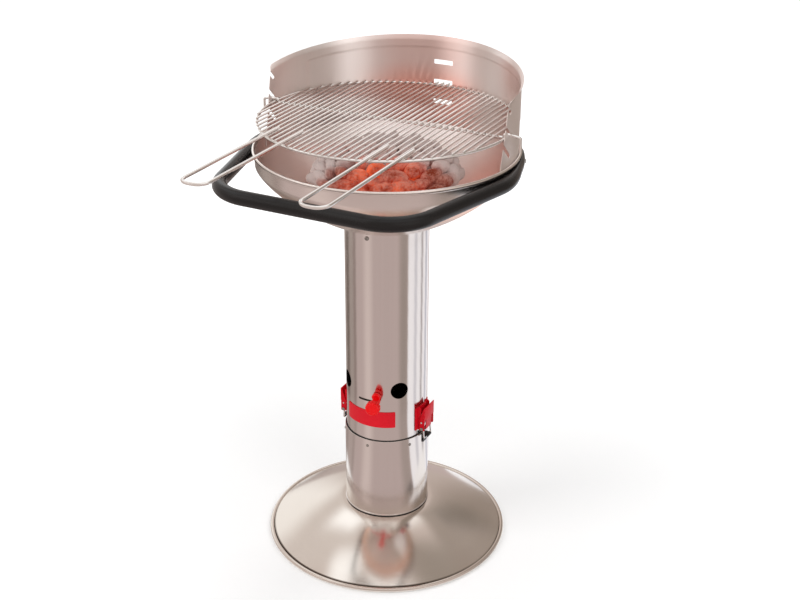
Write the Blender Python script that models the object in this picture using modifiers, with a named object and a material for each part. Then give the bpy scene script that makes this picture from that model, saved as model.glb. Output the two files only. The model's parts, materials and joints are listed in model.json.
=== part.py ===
"""A charcoal barbecue on a column: base dish, water column with air valve and two draw latches,
bowl with charcoal grid, windshield, hooked grate and a handle round the bowl.
Metres, +Z up, front towards -Y. Everything is built round the column's axis, and the parent empty
moves it back, so that the origin lies under the middle of the whole."""

import math

import bmesh
import bpy
from mathutils import Matrix, Vector

# Gaps
FIT = 0.0003  # between pieces that touch
SHEET = 0.0010  # sheet steel of the tubes and the bowl

# Base dish
BASE_RADIUS = 0.2367
BASE_ROLL = 0.0045  # radius of the rolled rim
BASE_FLAT = 0.0880  # radius of the flat top that carries the column
BASE_TOP = 0.0670  # height of that flat top
BASE_SHEET = 0.0012
FOOT_RING_HEIGHT = 0.0024
FOOT_RING_LIP = 0.0013  # how far it shows round the column
BOLT_RADIUS = 0.0040
BOLT_HEAD_RADIUS = 0.0070
BOLT_HEAD_HEIGHT = 0.0050
WASHER_RADIUS = 0.0110
WASHER_HEIGHT = 0.0015

# Column
LOWER_TUBE_RADIUS = 0.0815
UPPER_TUBE_RADIUS = 0.0784
SEAM_HEIGHT = 0.2369  # top edge of the lower tube
TUBE_OVERLAP = 0.0089  # how deep the upper tube sits in the lower one
BOWL_BOTTOM = 0.6650  # outer face of the bowl's flat bottom
SEAL_LIP = 0.0012
STOP_RING_HEIGHT = 0.0130
STOP_RING_LEDGE = 0.0065
RIVET_RADIUS = 0.0015
RIVET_HEAD_RADIUS = 0.0028
RIVET_HEAD_HEIGHT = 0.0014
LEDGE_RIVETS = 6

# Air valve
AIR_HOLE_RADIUS = 0.0170
SLOT_OVER_SEAM = 0.0856
HOLE_OVER_SLOT = 0.0230
SLOT_HALF_ANGLE = 15.8
SLOT_GAP = 0.0066
LEVER_ANGLE = 13.4  # where the knob stands, in degrees from the front
KNOB_RISE = 0.0040  # of the grip's middle over the slot
KNOB_RADIUS = 0.0140
KNOB_DEPTH = 0.0140
KNOB_REACH = 0.0385  # from the column to the knob's front
KNOB_FLUTES = 12
THUMB_WIDTH = 0.0176
THUMB_RISE = 0.0170  # of the tab's top over the grip's middle
NECK_RADIUS = 0.0030
SCREW_RADIUS = 0.0019
SLEEVE_MARGIN = 0.0065  # past the holes and the slot

# Label plate, left bare
LABEL_UNDER_SLOT = 0.0386
LABEL_TALL = 0.0334
LABEL_HALF_ANGLE = 39.0
LABEL_SHEET = 0.0007

# Draw latches, measured from the column's axis and from the floor
LATCH_BOTTOM = SEAM_HEIGHT + 0.0111
LATCH_TALL = 0.0490
LATCH_FACE = 0.0916  # outer face of the lever
LATCH_HALF_WIDTH = 0.0204
LATCH_SHEET = 0.0014
LATCH_PLATE_HALF_WIDTH = 0.0270  # of the plate on the tube
LATCH_PIVOT = (0.0859, SEAM_HEIGHT + 0.0146)
BAIL_PIVOT = (0.0853, SEAM_HEIGHT + 0.0286)
BAIL_BAR = (0.0881, SEAM_HEIGHT - 0.0075)
BAIL_RADIUS = 0.0016
BAIL_HALF_WIDTH = 0.0148
LATCH_PIN_RADIUS = 0.0020
CATCH_HALF_WIDTH = 0.0080
CATCH_PLAY = 0.0020  # room for the bar to swing out of the hook
CATCH_LIP = 0.0020
CATCH_TALL = 0.0175

# Bowl
BAND_RADIUS = 0.2362  # outer face under the rim
RIM_PROUD = 0.0048  # how far the rolled rim stands past it
RIM_HEIGHT = 0.8065
RIM_TALL = 0.0074
CREASE_HEIGHT = 0.7785
BOWL_MOUTH = 0.0640  # opening in the bottom
BOWL_SEAT = 0.0800  # radius of the flat bottom
BOWL_SCREW_DROP = 0.0110  # under the bowl
BOWL_SCREWS = 3
SPIGOT_PAST_SCREW = 0.0190

# Charcoal
CHARCOAL_GRID_RADIUS = 0.1450
CHARCOAL_WIRE = 0.0025
CHARCOAL_PITCH = 0.0200
HEAP_TOP = 0.8120
HEAP_RADIUS = 0.1380

# Windshield
SHIELD_SHEET = 0.0009
SHIELD_PLAY = 0.0008  # to the bowl's wall
SHIELD_OVER_GRATE = 0.0255  # its two ends over the grate's highest level
SHIELD_RISE = 0.0255  # how much higher the top edge is behind
SHIELD_FLARE = 0.0085  # height of the flared edge
SHIELD_FLARE_OUT = 0.0042
SHIELD_END_LOW = 0.0310  # how far the ends reach in front of the axis, at the rim
SHIELD_END_LEAN = 0.2080  # how much they go back per metre of height
SHIELD_CORNER = 0.0100
SLOT_WIDTH = 0.0386
SLOT_TALL = 0.0088
LEVEL_STEP = 0.0385  # between the three heights of the grate
NOTCH_RADIUS = 0.0034

# Grate
GRATE_PLAY = 0.0042  # from the bowl's outer face to the grate's edge
GRATE_OVER_RIM = 0.0520  # middle of its bars over the bowl's rim
RING_WIRE = 0.0025
BAR_WIRE = 0.0020
BAR_PITCH = 0.01175
BARS_SPREAD = 0.92  # of the grate's radius
TONGUE_BARS = 1  # bars on each side of the middle that reach into the rear slot
TONGUE = 0.0035
CROSS_WIRE = 0.0025
HOOK_RISE = 0.0015  # over the bars
HOOK_PAST_BOWL = 0.0183
HOOK_DROP = 0.0280
HANDLE_WIRE = 0.0030
HANDLE_PAST_GRATE = 0.2200
HANDLE_START = 0.1550
HANDLE_BAR_NEAR = 7
HANDLE_BAR_FAR = 11

# Handle round the bowl
RAIL_RADIUS = 0.0130
RAIL_HEIGHT = 0.7850
RAIL_GAP = 0.0605  # from the bowl to the axis of its front bar
RAIL_CORNER = 0.0860
RAIL_SPLAY = 14.5  # degrees by which its sides open towards the bowl
RAIL_FLAT = 0.0050  # half the thickness of its flattened ends
RAIL_FLAT_FROM = 78.0  # degrees from the front
RAIL_FLAT_AT = 104.0
RAIL_END = 119.0
RAIL_SCREW = 111.0

# Worked out from the above
SLOT_HEIGHT = SEAM_HEIGHT + SLOT_OVER_SEAM
AIR_HOLE_HEIGHT = SLOT_HEIGHT + HOLE_OVER_SLOT
LABEL_HEIGHT = SLOT_HEIGHT - LABEL_UNDER_SLOT
BOWL_RADIUS = BAND_RADIUS + RIM_PROUD
GRATE_RADIUS = BAND_RADIUS - GRATE_PLAY
BARS_EACH_SIDE = int(GRATE_RADIUS * BARS_SPREAD / BAR_PITCH)
HOOK_REACH = BAND_RADIUS + HOOK_PAST_BOWL
HANDLE_REACH = GRATE_RADIUS + HANDLE_PAST_GRATE
RAIL_FRONT = BAND_RADIUS + RAIL_GAP
KNOB_HEIGHT = SLOT_HEIGHT + KNOB_RISE
THUMB_TOP = KNOB_HEIGHT + THUMB_RISE
BOWL_SCREW_HEIGHT = BOWL_BOTTOM - BOWL_SCREW_DROP
SPIGOT_DEPTH = BOWL_SCREW_DROP + SPIGOT_PAST_SCREW
GRATE_HEIGHT = RIM_HEIGHT + GRATE_OVER_RIM
HOOK_HEIGHT = GRATE_HEIGHT + HOOK_RISE
SHIELD_END_HEIGHT = GRATE_HEIGHT + LEVEL_STEP + SHIELD_OVER_GRATE
FLANGE_RADIUS = BAND_RADIUS - SHEET - SHIELD_PLAY + SHIELD_FLARE_OUT
AXIS_Y = (HANDLE_REACH + HANDLE_WIRE - FLANGE_RADIUS) / 2
COLUMN_BOTTOM = BASE_TOP + FOOT_RING_HEIGHT + 2 * FIT
UPPER_TUBE_BOTTOM = SEAM_HEIGHT - TUBE_OVERLAP
UPPER_TUBE_TOP = BOWL_BOTTOM - FIT
LOWER_TUBE_BORE = LOWER_TUBE_RADIUS - SHEET
UPPER_TUBE_BORE = UPPER_TUBE_RADIUS - SHEET
LEDGE_HEIGHT = UPPER_TUBE_BOTTOM - FIT
RIVET_HEIGHT = LEDGE_HEIGHT - STOP_RING_HEIGHT * 0.28
RING_RADIUS = GRATE_RADIUS - RING_WIRE
RING_HEIGHT = GRATE_HEIGHT - BAR_WIRE - RING_WIRE + 0.0012

STEEL = (0.72, 0.70, 0.68)
BRIGHT = (0.86, 0.85, 0.84)
BLACK = (0.025, 0.024, 0.024)
RED = (0.62, 0.03, 0.04)
EMBER = (0.30, 0.06, 0.03)


def clear_scene():
    for obj in list(bpy.data.objects):
        bpy.data.objects.remove(obj, do_unlink=True)


def new_collection(name, hidden):
    collection = bpy.data.collections.new(name)
    bpy.context.scene.collection.children.link(collection)
    collection.hide_render = hidden
    return collection


def paint(obj, color, roughness, metallic):
    material = bpy.data.materials.new(obj.name + "_finish")
    material.use_nodes = True
    shader = material.node_tree.nodes["Principled BSDF"]
    shader.inputs["Base Color"].default_value = (*color, 1)
    shader.inputs["Roughness"].default_value = roughness
    shader.inputs["Metallic"].default_value = metallic
    obj.data.materials.append(material)


def add_object(name, data, finish, collection=None):
    """Puts an object in the part's collection, under the empty that carries the whole barbecue."""
    obj = bpy.data.objects.new(name, data)
    (collection or parts).objects.link(obj)
    obj.parent = carrier
    if finish:
        paint(obj, *finish)
    return obj


def add_cutter(name, data):
    obj = add_object(name, data, None, cutters)
    obj.hide_render = True
    obj.display_type = "WIRE"
    return obj


def mesh_from(bm, name, smooth=True):
    bmesh.ops.recalc_face_normals(bm, faces=bm.faces)
    mesh = bpy.data.meshes.new(name)
    bm.to_mesh(mesh)
    bm.free()
    if smooth:
        mesh.shade_smooth()
        mesh.set_sharp_from_angle(angle=math.radians(35))
    return mesh


def boolean(obj, other, operation):
    modifier = obj.modifiers.new(f"{operation.lower()} {other.name}", "BOOLEAN")
    modifier.operation = operation
    modifier.object = other
    modifier.solver = "EXACT"


def turned(name, profile, finish, steps=48, collection=None):
    """A turned piece. The profile is a closed loop of (radius, height)."""
    bm = bmesh.new()
    points = [bm.verts.new((radius, 0, height)) for radius, height in profile]
    for i, point in enumerate(points):
        bm.edges.new((point, points[(i + 1) % len(points)]))
    mesh = bpy.data.meshes.new(name)
    bm.to_mesh(mesh)
    bm.free()
    obj = add_object(name, mesh, finish, collection)
    screw = obj.modifiers.new("turn", "SCREW")
    screw.axis = "Z"
    screw.angle = math.tau
    screw.steps = steps
    screw.render_steps = steps
    screw.use_merge_vertices = True
    screw.merge_threshold = 0.00001
    screw.use_smooth_shade = True
    return obj


def tube_profile(inner, outer, low, high):
    return [(outer, high), (outer, low), (inner, low), (inner, high)]


def cylinder_mesh(name, radius, length, matrix, sides=16):
    """A cylinder whose axis runs from 0 to its length along the matrix's Z."""
    bm = bmesh.new()
    bmesh.ops.create_cone(
        bm, cap_ends=True, segments=sides, radius1=radius, radius2=radius, depth=length,
        matrix=matrix @ Matrix.Translation((0, 0, length / 2)),
    )
    return mesh_from(bm, name)


def radial(angle, start, height):
    """Points outwards from the axis, at an angle in degrees from the front towards +X."""
    turn = math.radians(angle)
    out = Vector((math.sin(turn), -math.cos(turn), 0))
    facing = out.to_track_quat("Z", "Y").to_matrix().to_4x4()
    return Matrix.Translation(out * start + Vector((0, 0, height))) @ facing


def bore_into(bm, place, radius, length, sides):
    """A round bore that runs along the place's Z."""
    middle = place @ Matrix.Translation((0, 0, length / 2))
    bmesh.ops.create_cone(
        bm, cap_ends=True, segments=sides, radius1=radius, radius2=radius, depth=length, matrix=middle,
    )


def box_into(bm, low, high):
    size = [b - a for a, b in zip(low, high)]
    middle = [(a + b) / 2 for a, b in zip(low, high)]
    bmesh.ops.create_cube(bm, size=1, matrix=Matrix.Translation(middle) @ Matrix.Diagonal((*size, 1)))


def box(name, low, high, finish=None, spin=0.0):
    bm = bmesh.new()
    box_into(bm, low, high)
    bmesh.ops.rotate(bm, verts=bm.verts, matrix=Matrix.Rotation(spin, 3, "Z"))
    mesh = mesh_from(bm, name, smooth=False)
    return add_object(name, mesh, finish) if finish else add_cutter(name, mesh)


def sheet(name, columns, rows, place, thickness, finish, collection=None):
    """A bent sheet: place(u, v) gives the middle of the sheet for u and v from 0 to 1."""
    bm = bmesh.new()
    bmesh.ops.create_grid(bm, x_segments=columns, y_segments=rows, size=0.5)
    for vert in bm.verts:
        vert.co = place(vert.co.x + 0.5, vert.co.y + 0.5)
    obj = add_object(name, mesh_from(bm, name), finish, collection)
    solidify = obj.modifiers.new("sheet", "SOLIDIFY")
    solidify.thickness = thickness
    solidify.offset = 0
    solidify.use_even_offset = True
    return obj


def wire(name, points, radius, finish, closed=False, sides=2):
    """A round wire or tube along straight runs between the points."""
    curve = bpy.data.curves.new(name, "CURVE")
    curve.dimensions = "3D"
    curve.bevel_depth = radius
    curve.bevel_resolution = sides
    curve.use_fill_caps = True
    spline = curve.splines.new("POLY")
    spline.points.add(len(points) - 1)
    for point, place in zip(spline.points, points):
        point.co = (*place, 1)
    spline.use_cyclic_u = closed
    return add_object(name, curve, finish)


def as_mesh(obj, collection=None):
    """Turns a curve object into a mesh with welded caps, which a Boolean can use."""
    bpy.context.view_layer.update()
    graph = bpy.context.evaluated_depsgraph_get()
    mesh = bpy.data.meshes.new_from_object(obj.evaluated_get(graph))
    bm = bmesh.new()
    bm.from_mesh(mesh)
    bmesh.ops.remove_doubles(bm, verts=bm.verts, dist=0.00001)
    bmesh.ops.recalc_face_normals(bm, faces=bm.faces)
    bm.to_mesh(mesh)
    bm.free()
    mesh.shade_smooth()
    mesh.set_sharp_from_angle(angle=math.radians(50))
    name = obj.name
    place = obj.matrix_world.copy()
    old = obj.data
    bpy.data.objects.remove(obj, do_unlink=True)
    bpy.data.curves.remove(old)
    new = bpy.data.objects.new(name, mesh)
    (collection or parts).objects.link(new)
    new.parent = carrier
    new.matrix_world = place
    return new


def rounded(corners, radii, steps=6):
    """Points along a path of straight runs whose inner corners are arcs."""
    path = [Vector(corners[0])]
    for i in range(1, len(corners) - 1):
        before, corner, after = (Vector(corners[j]) for j in (i - 1, i, i + 1))
        back = (before - corner).normalized()
        ahead = (after - corner).normalized()
        half = back.angle(ahead) / 2
        reach = radii[i - 1] / math.tan(half)
        centre = corner + (back + ahead).normalized() * radii[i - 1] / math.sin(half)
        start = corner + back * reach - centre
        end = corner + ahead * reach - centre
        turn = start.angle(end)
        for k in range(steps + 1):
            share = k / steps
            spread = math.sin((1 - share) * turn), math.sin(share * turn)
            path.append(centre + (start * spread[0] + end * spread[1]) / math.sin(turn))
    path.append(Vector(corners[-1]))
    return path


def arc(centre, radius, angles, tall=1.0):
    """Points of (radius, height) round a centre, for angles in degrees from the outward direction."""
    turns = [math.radians(a) for a in angles]
    return [(centre[0] + radius * math.cos(t), centre[1] + radius * tall * math.sin(t)) for t in turns]


def height_at(profile, radius):
    """The height of an open profile of (radius, height) at a radius."""
    line = sorted(profile)
    for (r0, z0), (r1, z1) in zip(line, line[1:]):
        if r0 <= radius <= r1:
            return z0 + (z1 - z0) * (radius - r0) / (r1 - r0)
    return line[-1][1]


def build_base():
    steel = (STEEL, 0.18, 1.0)
    edge = BASE_RADIUS - 2 * BASE_ROLL
    start = 2 * BASE_ROLL - 0.0010
    dome = []
    for i in range(6):
        share = i / 5
        radius = BASE_FLAT + (edge - BASE_FLAT) * share
        dome.append((radius, start + (BASE_TOP - start) * (1 - share ** 1.25)))
    hole = BOLT_RADIUS + FIT
    centre = (BASE_RADIUS - BASE_ROLL, BASE_ROLL)
    roll = arc(centre, BASE_ROLL, (80, 30, -20))
    foot = [(centre[0] + BASE_ROLL * 0.6, 0.0), (centre[0] - BASE_ROLL * 0.6, 0.0)]
    inside = [(r - BASE_SHEET * 0.4, z - BASE_SHEET) for r, z in reversed(dome[1:])]
    profile = [(hole, BASE_TOP), *dome, *roll, *foot, (edge - 0.0003, BASE_ROLL * 0.6), *inside]
    profile += [(BASE_FLAT, BASE_TOP - BASE_SHEET), (hole, BASE_TOP - BASE_SHEET)]
    turned("base_dish", profile, steel, 60)


def build_foot():
    black = (BLACK, 0.5, 0.0)
    steel = (STEEL, 0.3, 1.0)
    floor = COLUMN_BOTTOM
    outer = LOWER_TUBE_RADIUS + FOOT_RING_LIP
    low = BASE_TOP + FIT
    turned("foot_ring", tube_profile(outer - 0.0065, outer, low, low + FOOT_RING_HEIGHT), black)
    hole = BOLT_RADIUS + FIT
    top = floor + SHEET
    turned("reservoir_floor", tube_profile(hole, LOWER_TUBE_BORE - FIT, floor, top), steel)
    seat = top + FIT
    turned("foot_washer", tube_profile(hole, WASHER_RADIUS, seat, seat + WASHER_HEIGHT), black, 24)
    under_head = seat + WASHER_HEIGHT + FIT
    low = BASE_TOP - BASE_SHEET - FIT
    nut_tall = BOLT_HEAD_HEIGHT * 1.2
    end = low - nut_tall - 0.0040
    shank = cylinder_mesh("foot_bolt", BOLT_RADIUS, under_head - end + 0.001, Matrix.Translation((0, 0, end)))
    bolt = add_object("foot_bolt", shank, steel)
    place = Matrix.Translation((0, 0, under_head))
    head = add_cutter("bolt_head", cylinder_mesh("bolt_head", BOLT_HEAD_RADIUS, BOLT_HEAD_HEIGHT, place, 6))
    boolean(bolt, head, "UNION")
    place = Matrix.Translation((0, 0, low - nut_tall))
    nut = add_object("foot_nut", cylinder_mesh("foot_nut", BOLT_HEAD_RADIUS, nut_tall, place, 6), steel)
    place = Matrix.Translation((0, 0, low - nut_tall - 0.001))
    bore = add_cutter("nut_bore", cylinder_mesh("nut_bore", hole, nut_tall + 0.002, place))
    boolean(nut, bore, "DIFFERENCE")


def build_joint():
    """The lower tube, the ring riveted in it that the upper tube stands on, and the seal round the seam."""
    steel = (STEEL, 0.22, 1.0)
    profile = tube_profile(LOWER_TUBE_BORE, LOWER_TUBE_RADIUS, COLUMN_BOTTOM, SEAM_HEIGHT)
    lower = turned("lower_tube", profile, steel)
    outer = LOWER_TUBE_BORE - FIT
    low = LEDGE_HEIGHT - STOP_RING_HEIGHT
    profile = [
        (outer, LEDGE_HEIGHT), (outer, low), (outer - 0.0012, low), (outer - 0.0012, LEDGE_HEIGHT - 0.0012),
        (outer - STOP_RING_LEDGE, LEDGE_HEIGHT - 0.0012), (outer - STOP_RING_LEDGE, LEDGE_HEIGHT),
    ]
    ring = turned("stop_ring", profile, steel)
    inner = UPPER_TUBE_RADIUS + FIT
    lip = SEAM_HEIGHT + FIT
    profile = [
        (outer + SEAL_LIP, lip + 0.0012), (outer + SEAL_LIP, lip), (outer, lip), (outer, lip - 0.0070),
        (inner, lip - 0.0070), (inner, lip + 0.0012),
    ]
    turned("joint_seal", profile, (BLACK, 0.6, 0.0))
    bm = bmesh.new()
    for i in range(LEDGE_RIVETS):
        place = radial(360 / LEDGE_RIVETS * i, LOWER_TUBE_BORE - 0.010, RIVET_HEIGHT)
        bore_into(bm, place, RIVET_RADIUS + FIT, 0.020, 10)
    holes = add_cutter("ledge_rivet_holes", mesh_from(bm, "ledge_rivet_holes"))
    boolean(lower, holes, "DIFFERENCE")
    boolean(ring, holes, "DIFFERENCE")
    for i in range(LEDGE_RIVETS):
        rivet(f"ledge_rivet_{i + 1}", 360 / LEDGE_RIVETS * i, outer - 0.0025, LOWER_TUBE_RADIUS, RIVET_HEIGHT)
    for side, angle in (("left", -90), ("right", 90)):
        matrix = radial(angle, LOWER_TUBE_BORE - 0.010, catch_rivet_height())
        hole = cylinder_mesh("catch_hole", LATCH_PIN_RADIUS + FIT, 0.020, matrix, 12)
        boolean(lower, add_cutter(f"catch_hole_{side}", hole), "DIFFERENCE")


def rivet(name, angle, start, face, height):
    """A rivet from inside a wall to its domed head on the wall's outer face."""
    seat = face + FIT
    bm = bmesh.new()
    rings = [(RIVET_RADIUS, start), (RIVET_RADIUS, seat), (RIVET_HEAD_RADIUS, seat)]
    rings.append((RIVET_HEAD_RADIUS, seat + RIVET_HEAD_HEIGHT * 0.4))
    rings.append((RIVET_HEAD_RADIUS * 0.6, seat + RIVET_HEAD_HEIGHT))
    sides = 10
    loops = []
    for radius, out in rings:
        place = radial(angle, out, height)
        turns = [math.tau * k / sides for k in range(sides)]
        circle = [Vector((radius * math.cos(t), radius * math.sin(t), 0)) for t in turns]
        loops.append([bm.verts.new(place @ point) for point in circle])
    for a, b in zip(loops, loops[1:]):
        for k in range(sides):
            bm.faces.new((a[k], a[(k + 1) % sides], b[(k + 1) % sides], b[k]))
    bm.faces.new(loops[0])
    bm.faces.new(loops[-1])
    return add_object(name, mesh_from(bm, name), (STEEL, 0.3, 1.0))


def air_hole_cutter():
    bm = bmesh.new()
    for angle in (45, 135, 225, 315):
        bore_into(bm, radial(angle, 0.045, AIR_HOLE_HEIGHT), AIR_HOLE_RADIUS, 0.050, 24)
    return add_cutter("air_hole_cutter", mesh_from(bm, "air_hole_cutter"))


def build_upper_tube():
    steel = (STEEL, 0.22, 1.0)
    profile = tube_profile(UPPER_TUBE_BORE, UPPER_TUBE_RADIUS, UPPER_TUBE_BOTTOM, UPPER_TUBE_TOP)
    tube = turned("upper_tube", profile, steel)
    holes = air_hole_cutter()
    boolean(tube, holes, "DIFFERENCE")
    half = UPPER_TUBE_RADIUS * math.sin(math.radians(SLOT_HALF_ANGLE)) - SLOT_GAP / 2
    bm = bmesh.new()
    for x, z in ((-half, SLOT_HEIGHT), (half, SLOT_HEIGHT)):
        place = Matrix.Translation((x, -0.05, z)) @ Matrix.Rotation(math.radians(90), 4, "X")
        bore_into(bm, place, SLOT_GAP / 2, 0.06, 16)
    ends = add_cutter("slot_ends", mesh_from(bm, "slot_ends"))
    gap = SLOT_GAP / 2
    middle = box("slot_middle", (-half, -0.11, SLOT_HEIGHT - gap), (half, -0.05, SLOT_HEIGHT + gap))
    boolean(tube, ends, "DIFFERENCE")
    boolean(tube, middle, "DIFFERENCE")
    holes_for_screws(tube, "tube_screw_holes", UPPER_TUBE_BORE - 0.006)

    outer = UPPER_TUBE_BORE - FIT
    inner = outer - 0.0012
    low = SLOT_HEIGHT - SLOT_GAP / 2 - SLEEVE_MARGIN
    high = AIR_HOLE_HEIGHT + AIR_HOLE_RADIUS + SLEEVE_MARGIN
    sleeve = turned("valve_sleeve", tube_profile(inner, outer, low, high), (STEEL, 0.35, 1.0))
    boolean(sleeve, holes, "DIFFERENCE")
    matrix = radial(LEVER_ANGLE, inner - 0.005, SLOT_HEIGHT)
    hole = cylinder_mesh("sleeve_screw_hole", SCREW_RADIUS + FIT, 0.012, matrix, 12)
    boolean(sleeve, add_cutter("sleeve_screw_hole", hole), "DIFFERENCE")


def holes_for_screws(obj, name, start):
    bm = bmesh.new()
    for i in range(BOWL_SCREWS):
        bore_into(bm, radial(360 / BOWL_SCREWS * i, start, BOWL_SCREW_HEIGHT), SCREW_RADIUS + FIT, 0.016, 12)
    boolean(obj, add_cutter(name, mesh_from(bm, name)), "DIFFERENCE")


def build_knob():
    """The red knob on its neck through the slot, with the thumb tab behind the fluted grip."""
    outer = UPPER_TUBE_BORE
    front = UPPER_TUBE_RADIUS + KNOB_REACH
    bm = bmesh.new()
    count = KNOB_FLUTES * 4
    loops = []
    for share, scale in ((0.0, 0.86), (0.2, 1.0), (0.75, 1.0), (1.0, 0.80)):
        out = front - KNOB_DEPTH * (1 - share)
        loop = []
        for k in range(count):
            turn = math.tau * k / count
            radius = KNOB_RADIUS * scale * (1 - 0.07 * (k % 4 == 0))
            point = Vector((radius * math.cos(turn), radius * math.sin(turn), 0))
            loop.append(bm.verts.new(radial(LEVER_ANGLE, out, KNOB_HEIGHT) @ point))
        loops.append(loop)
    for a, b in zip(loops, loops[1:]):
        for k in range(count):
            bm.faces.new((a[k], a[(k + 1) % count], b[(k + 1) % count], b[k]))
    bm.faces.new(loops[0])
    bm.faces.new(loops[-1])
    knob = add_object("valve_knob", mesh_from(bm, "valve_knob"), (RED, 0.3, 0.0))

    back = UPPER_TUBE_RADIUS + 0.0012
    shank_start = back + 0.0040
    place = radial(LEVER_ANGLE, shank_start, KNOB_HEIGHT)
    shank = cylinder_mesh("knob_shank", 0.0080, front - KNOB_DEPTH + 0.002 - shank_start, place)
    boolean(knob, add_cutter("knob_shank", shank), "UNION")
    half = THUMB_WIDTH / 2
    tab_low = SLOT_HEIGHT - half
    tab = []
    for k in range(9):
        turn = math.pi * k / 8
        tab.append((half * math.cos(turn), THUMB_TOP - half + half * math.sin(turn)))
    for k in range(9):
        turn = math.pi + math.pi * k / 8
        tab.append((half * math.cos(turn), tab_low + half + half * math.sin(turn)))
    bm = bmesh.new()
    side = Vector((math.cos(math.radians(LEVER_ANGLE)), math.sin(math.radians(LEVER_ANGLE)), 0))
    out = Vector((math.sin(math.radians(LEVER_ANGLE)), -math.cos(math.radians(LEVER_ANGLE)), 0))
    face = bm.faces.new([bm.verts.new(out * back + side * x + Vector((0, 0, z))) for x, z in tab])
    grown = bmesh.ops.extrude_face_region(bm, geom=[face])
    moved = [item for item in grown["geom"] if isinstance(item, bmesh.types.BMVert)]
    bmesh.ops.translate(bm, verts=moved, vec=out * 0.0085)
    boolean(knob, add_cutter("thumb_tab", mesh_from(bm, "thumb_tab")), "UNION")
    place = radial(LEVER_ANGLE, outer, SLOT_HEIGHT)
    neck = cylinder_mesh("knob_neck", NECK_RADIUS, back + 0.002 - outer, place)
    boolean(knob, add_cutter("knob_neck", neck), "UNION")
    place = radial(LEVER_ANGLE, outer - 0.001, SLOT_HEIGHT)
    bore = cylinder_mesh("knob_bore", SCREW_RADIUS + FIT, 0.0150, place, 12)
    boolean(knob, add_cutter("knob_bore", bore), "DIFFERENCE")

    sleeve_inner = UPPER_TUBE_BORE - FIT - 0.0012
    end = outer + 0.0125
    place = radial(LEVER_ANGLE, sleeve_inner - 0.001, SLOT_HEIGHT)
    shank = cylinder_mesh("valve_screw", SCREW_RADIUS, end - sleeve_inner + 0.001, place, 12)
    screw = add_object("valve_screw", shank, (STEEL, 0.3, 1.0))
    place = radial(LEVER_ANGLE, sleeve_inner - 0.0032, SLOT_HEIGHT)
    head = cylinder_mesh("valve_screw_head", 0.0040, 0.0026, place, 12)
    boolean(screw, add_cutter("valve_screw_head", head), "UNION")


def build_label():
    middle = UPPER_TUBE_RADIUS + FIT + LABEL_SHEET / 2

    def place(u, v):
        turn = math.radians(LABEL_HALF_ANGLE) * (2 * u - 1)
        height = LABEL_HEIGHT + LABEL_TALL * (v - 0.5)
        return Vector((middle * math.sin(turn), -middle * math.cos(turn), height))

    sheet("label_plate", 16, 1, place, LABEL_SHEET, (RED, 0.35, 0.0))


def catch_rivet_height():
    return BAIL_BAR[1] + BAIL_RADIUS - CATCH_TALL * 0.62


def outline_into(bm, outline, low, high):
    """An outline of (x, z) made solid between two values of y."""
    face = bm.faces.new([bm.verts.new((x, low, z)) for x, z in outline])
    grown = bmesh.ops.extrude_face_region(bm, geom=[face])
    moved = [item for item in grown["geom"] if isinstance(item, bmesh.types.BMVert)]
    bmesh.ops.translate(bm, verts=moved, vec=(0, high - low, 0))


def latch_piece(name, build, spin, finish):
    bm = bmesh.new()
    build(bm)
    bmesh.ops.rotate(bm, verts=bm.verts, matrix=Matrix.Rotation(spin, 3, "Z"))
    mesh = mesh_from(bm, name, smooth=False)
    return add_object(name, mesh, finish) if finish else add_cutter(name, mesh)


def cross_hole(name, point, radius, spin):
    """A hole along y through both ears, at a point of (x, z)."""
    bm = bmesh.new()
    place = Matrix.Translation((point[0], 0.03, point[1])) @ Matrix.Rotation(math.radians(90), 4, "X")
    bore_into(bm, Matrix.Rotation(spin, 4, "Z") @ place, radius, 0.06, 12)
    return add_cutter(name, mesh_from(bm, name))


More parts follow.
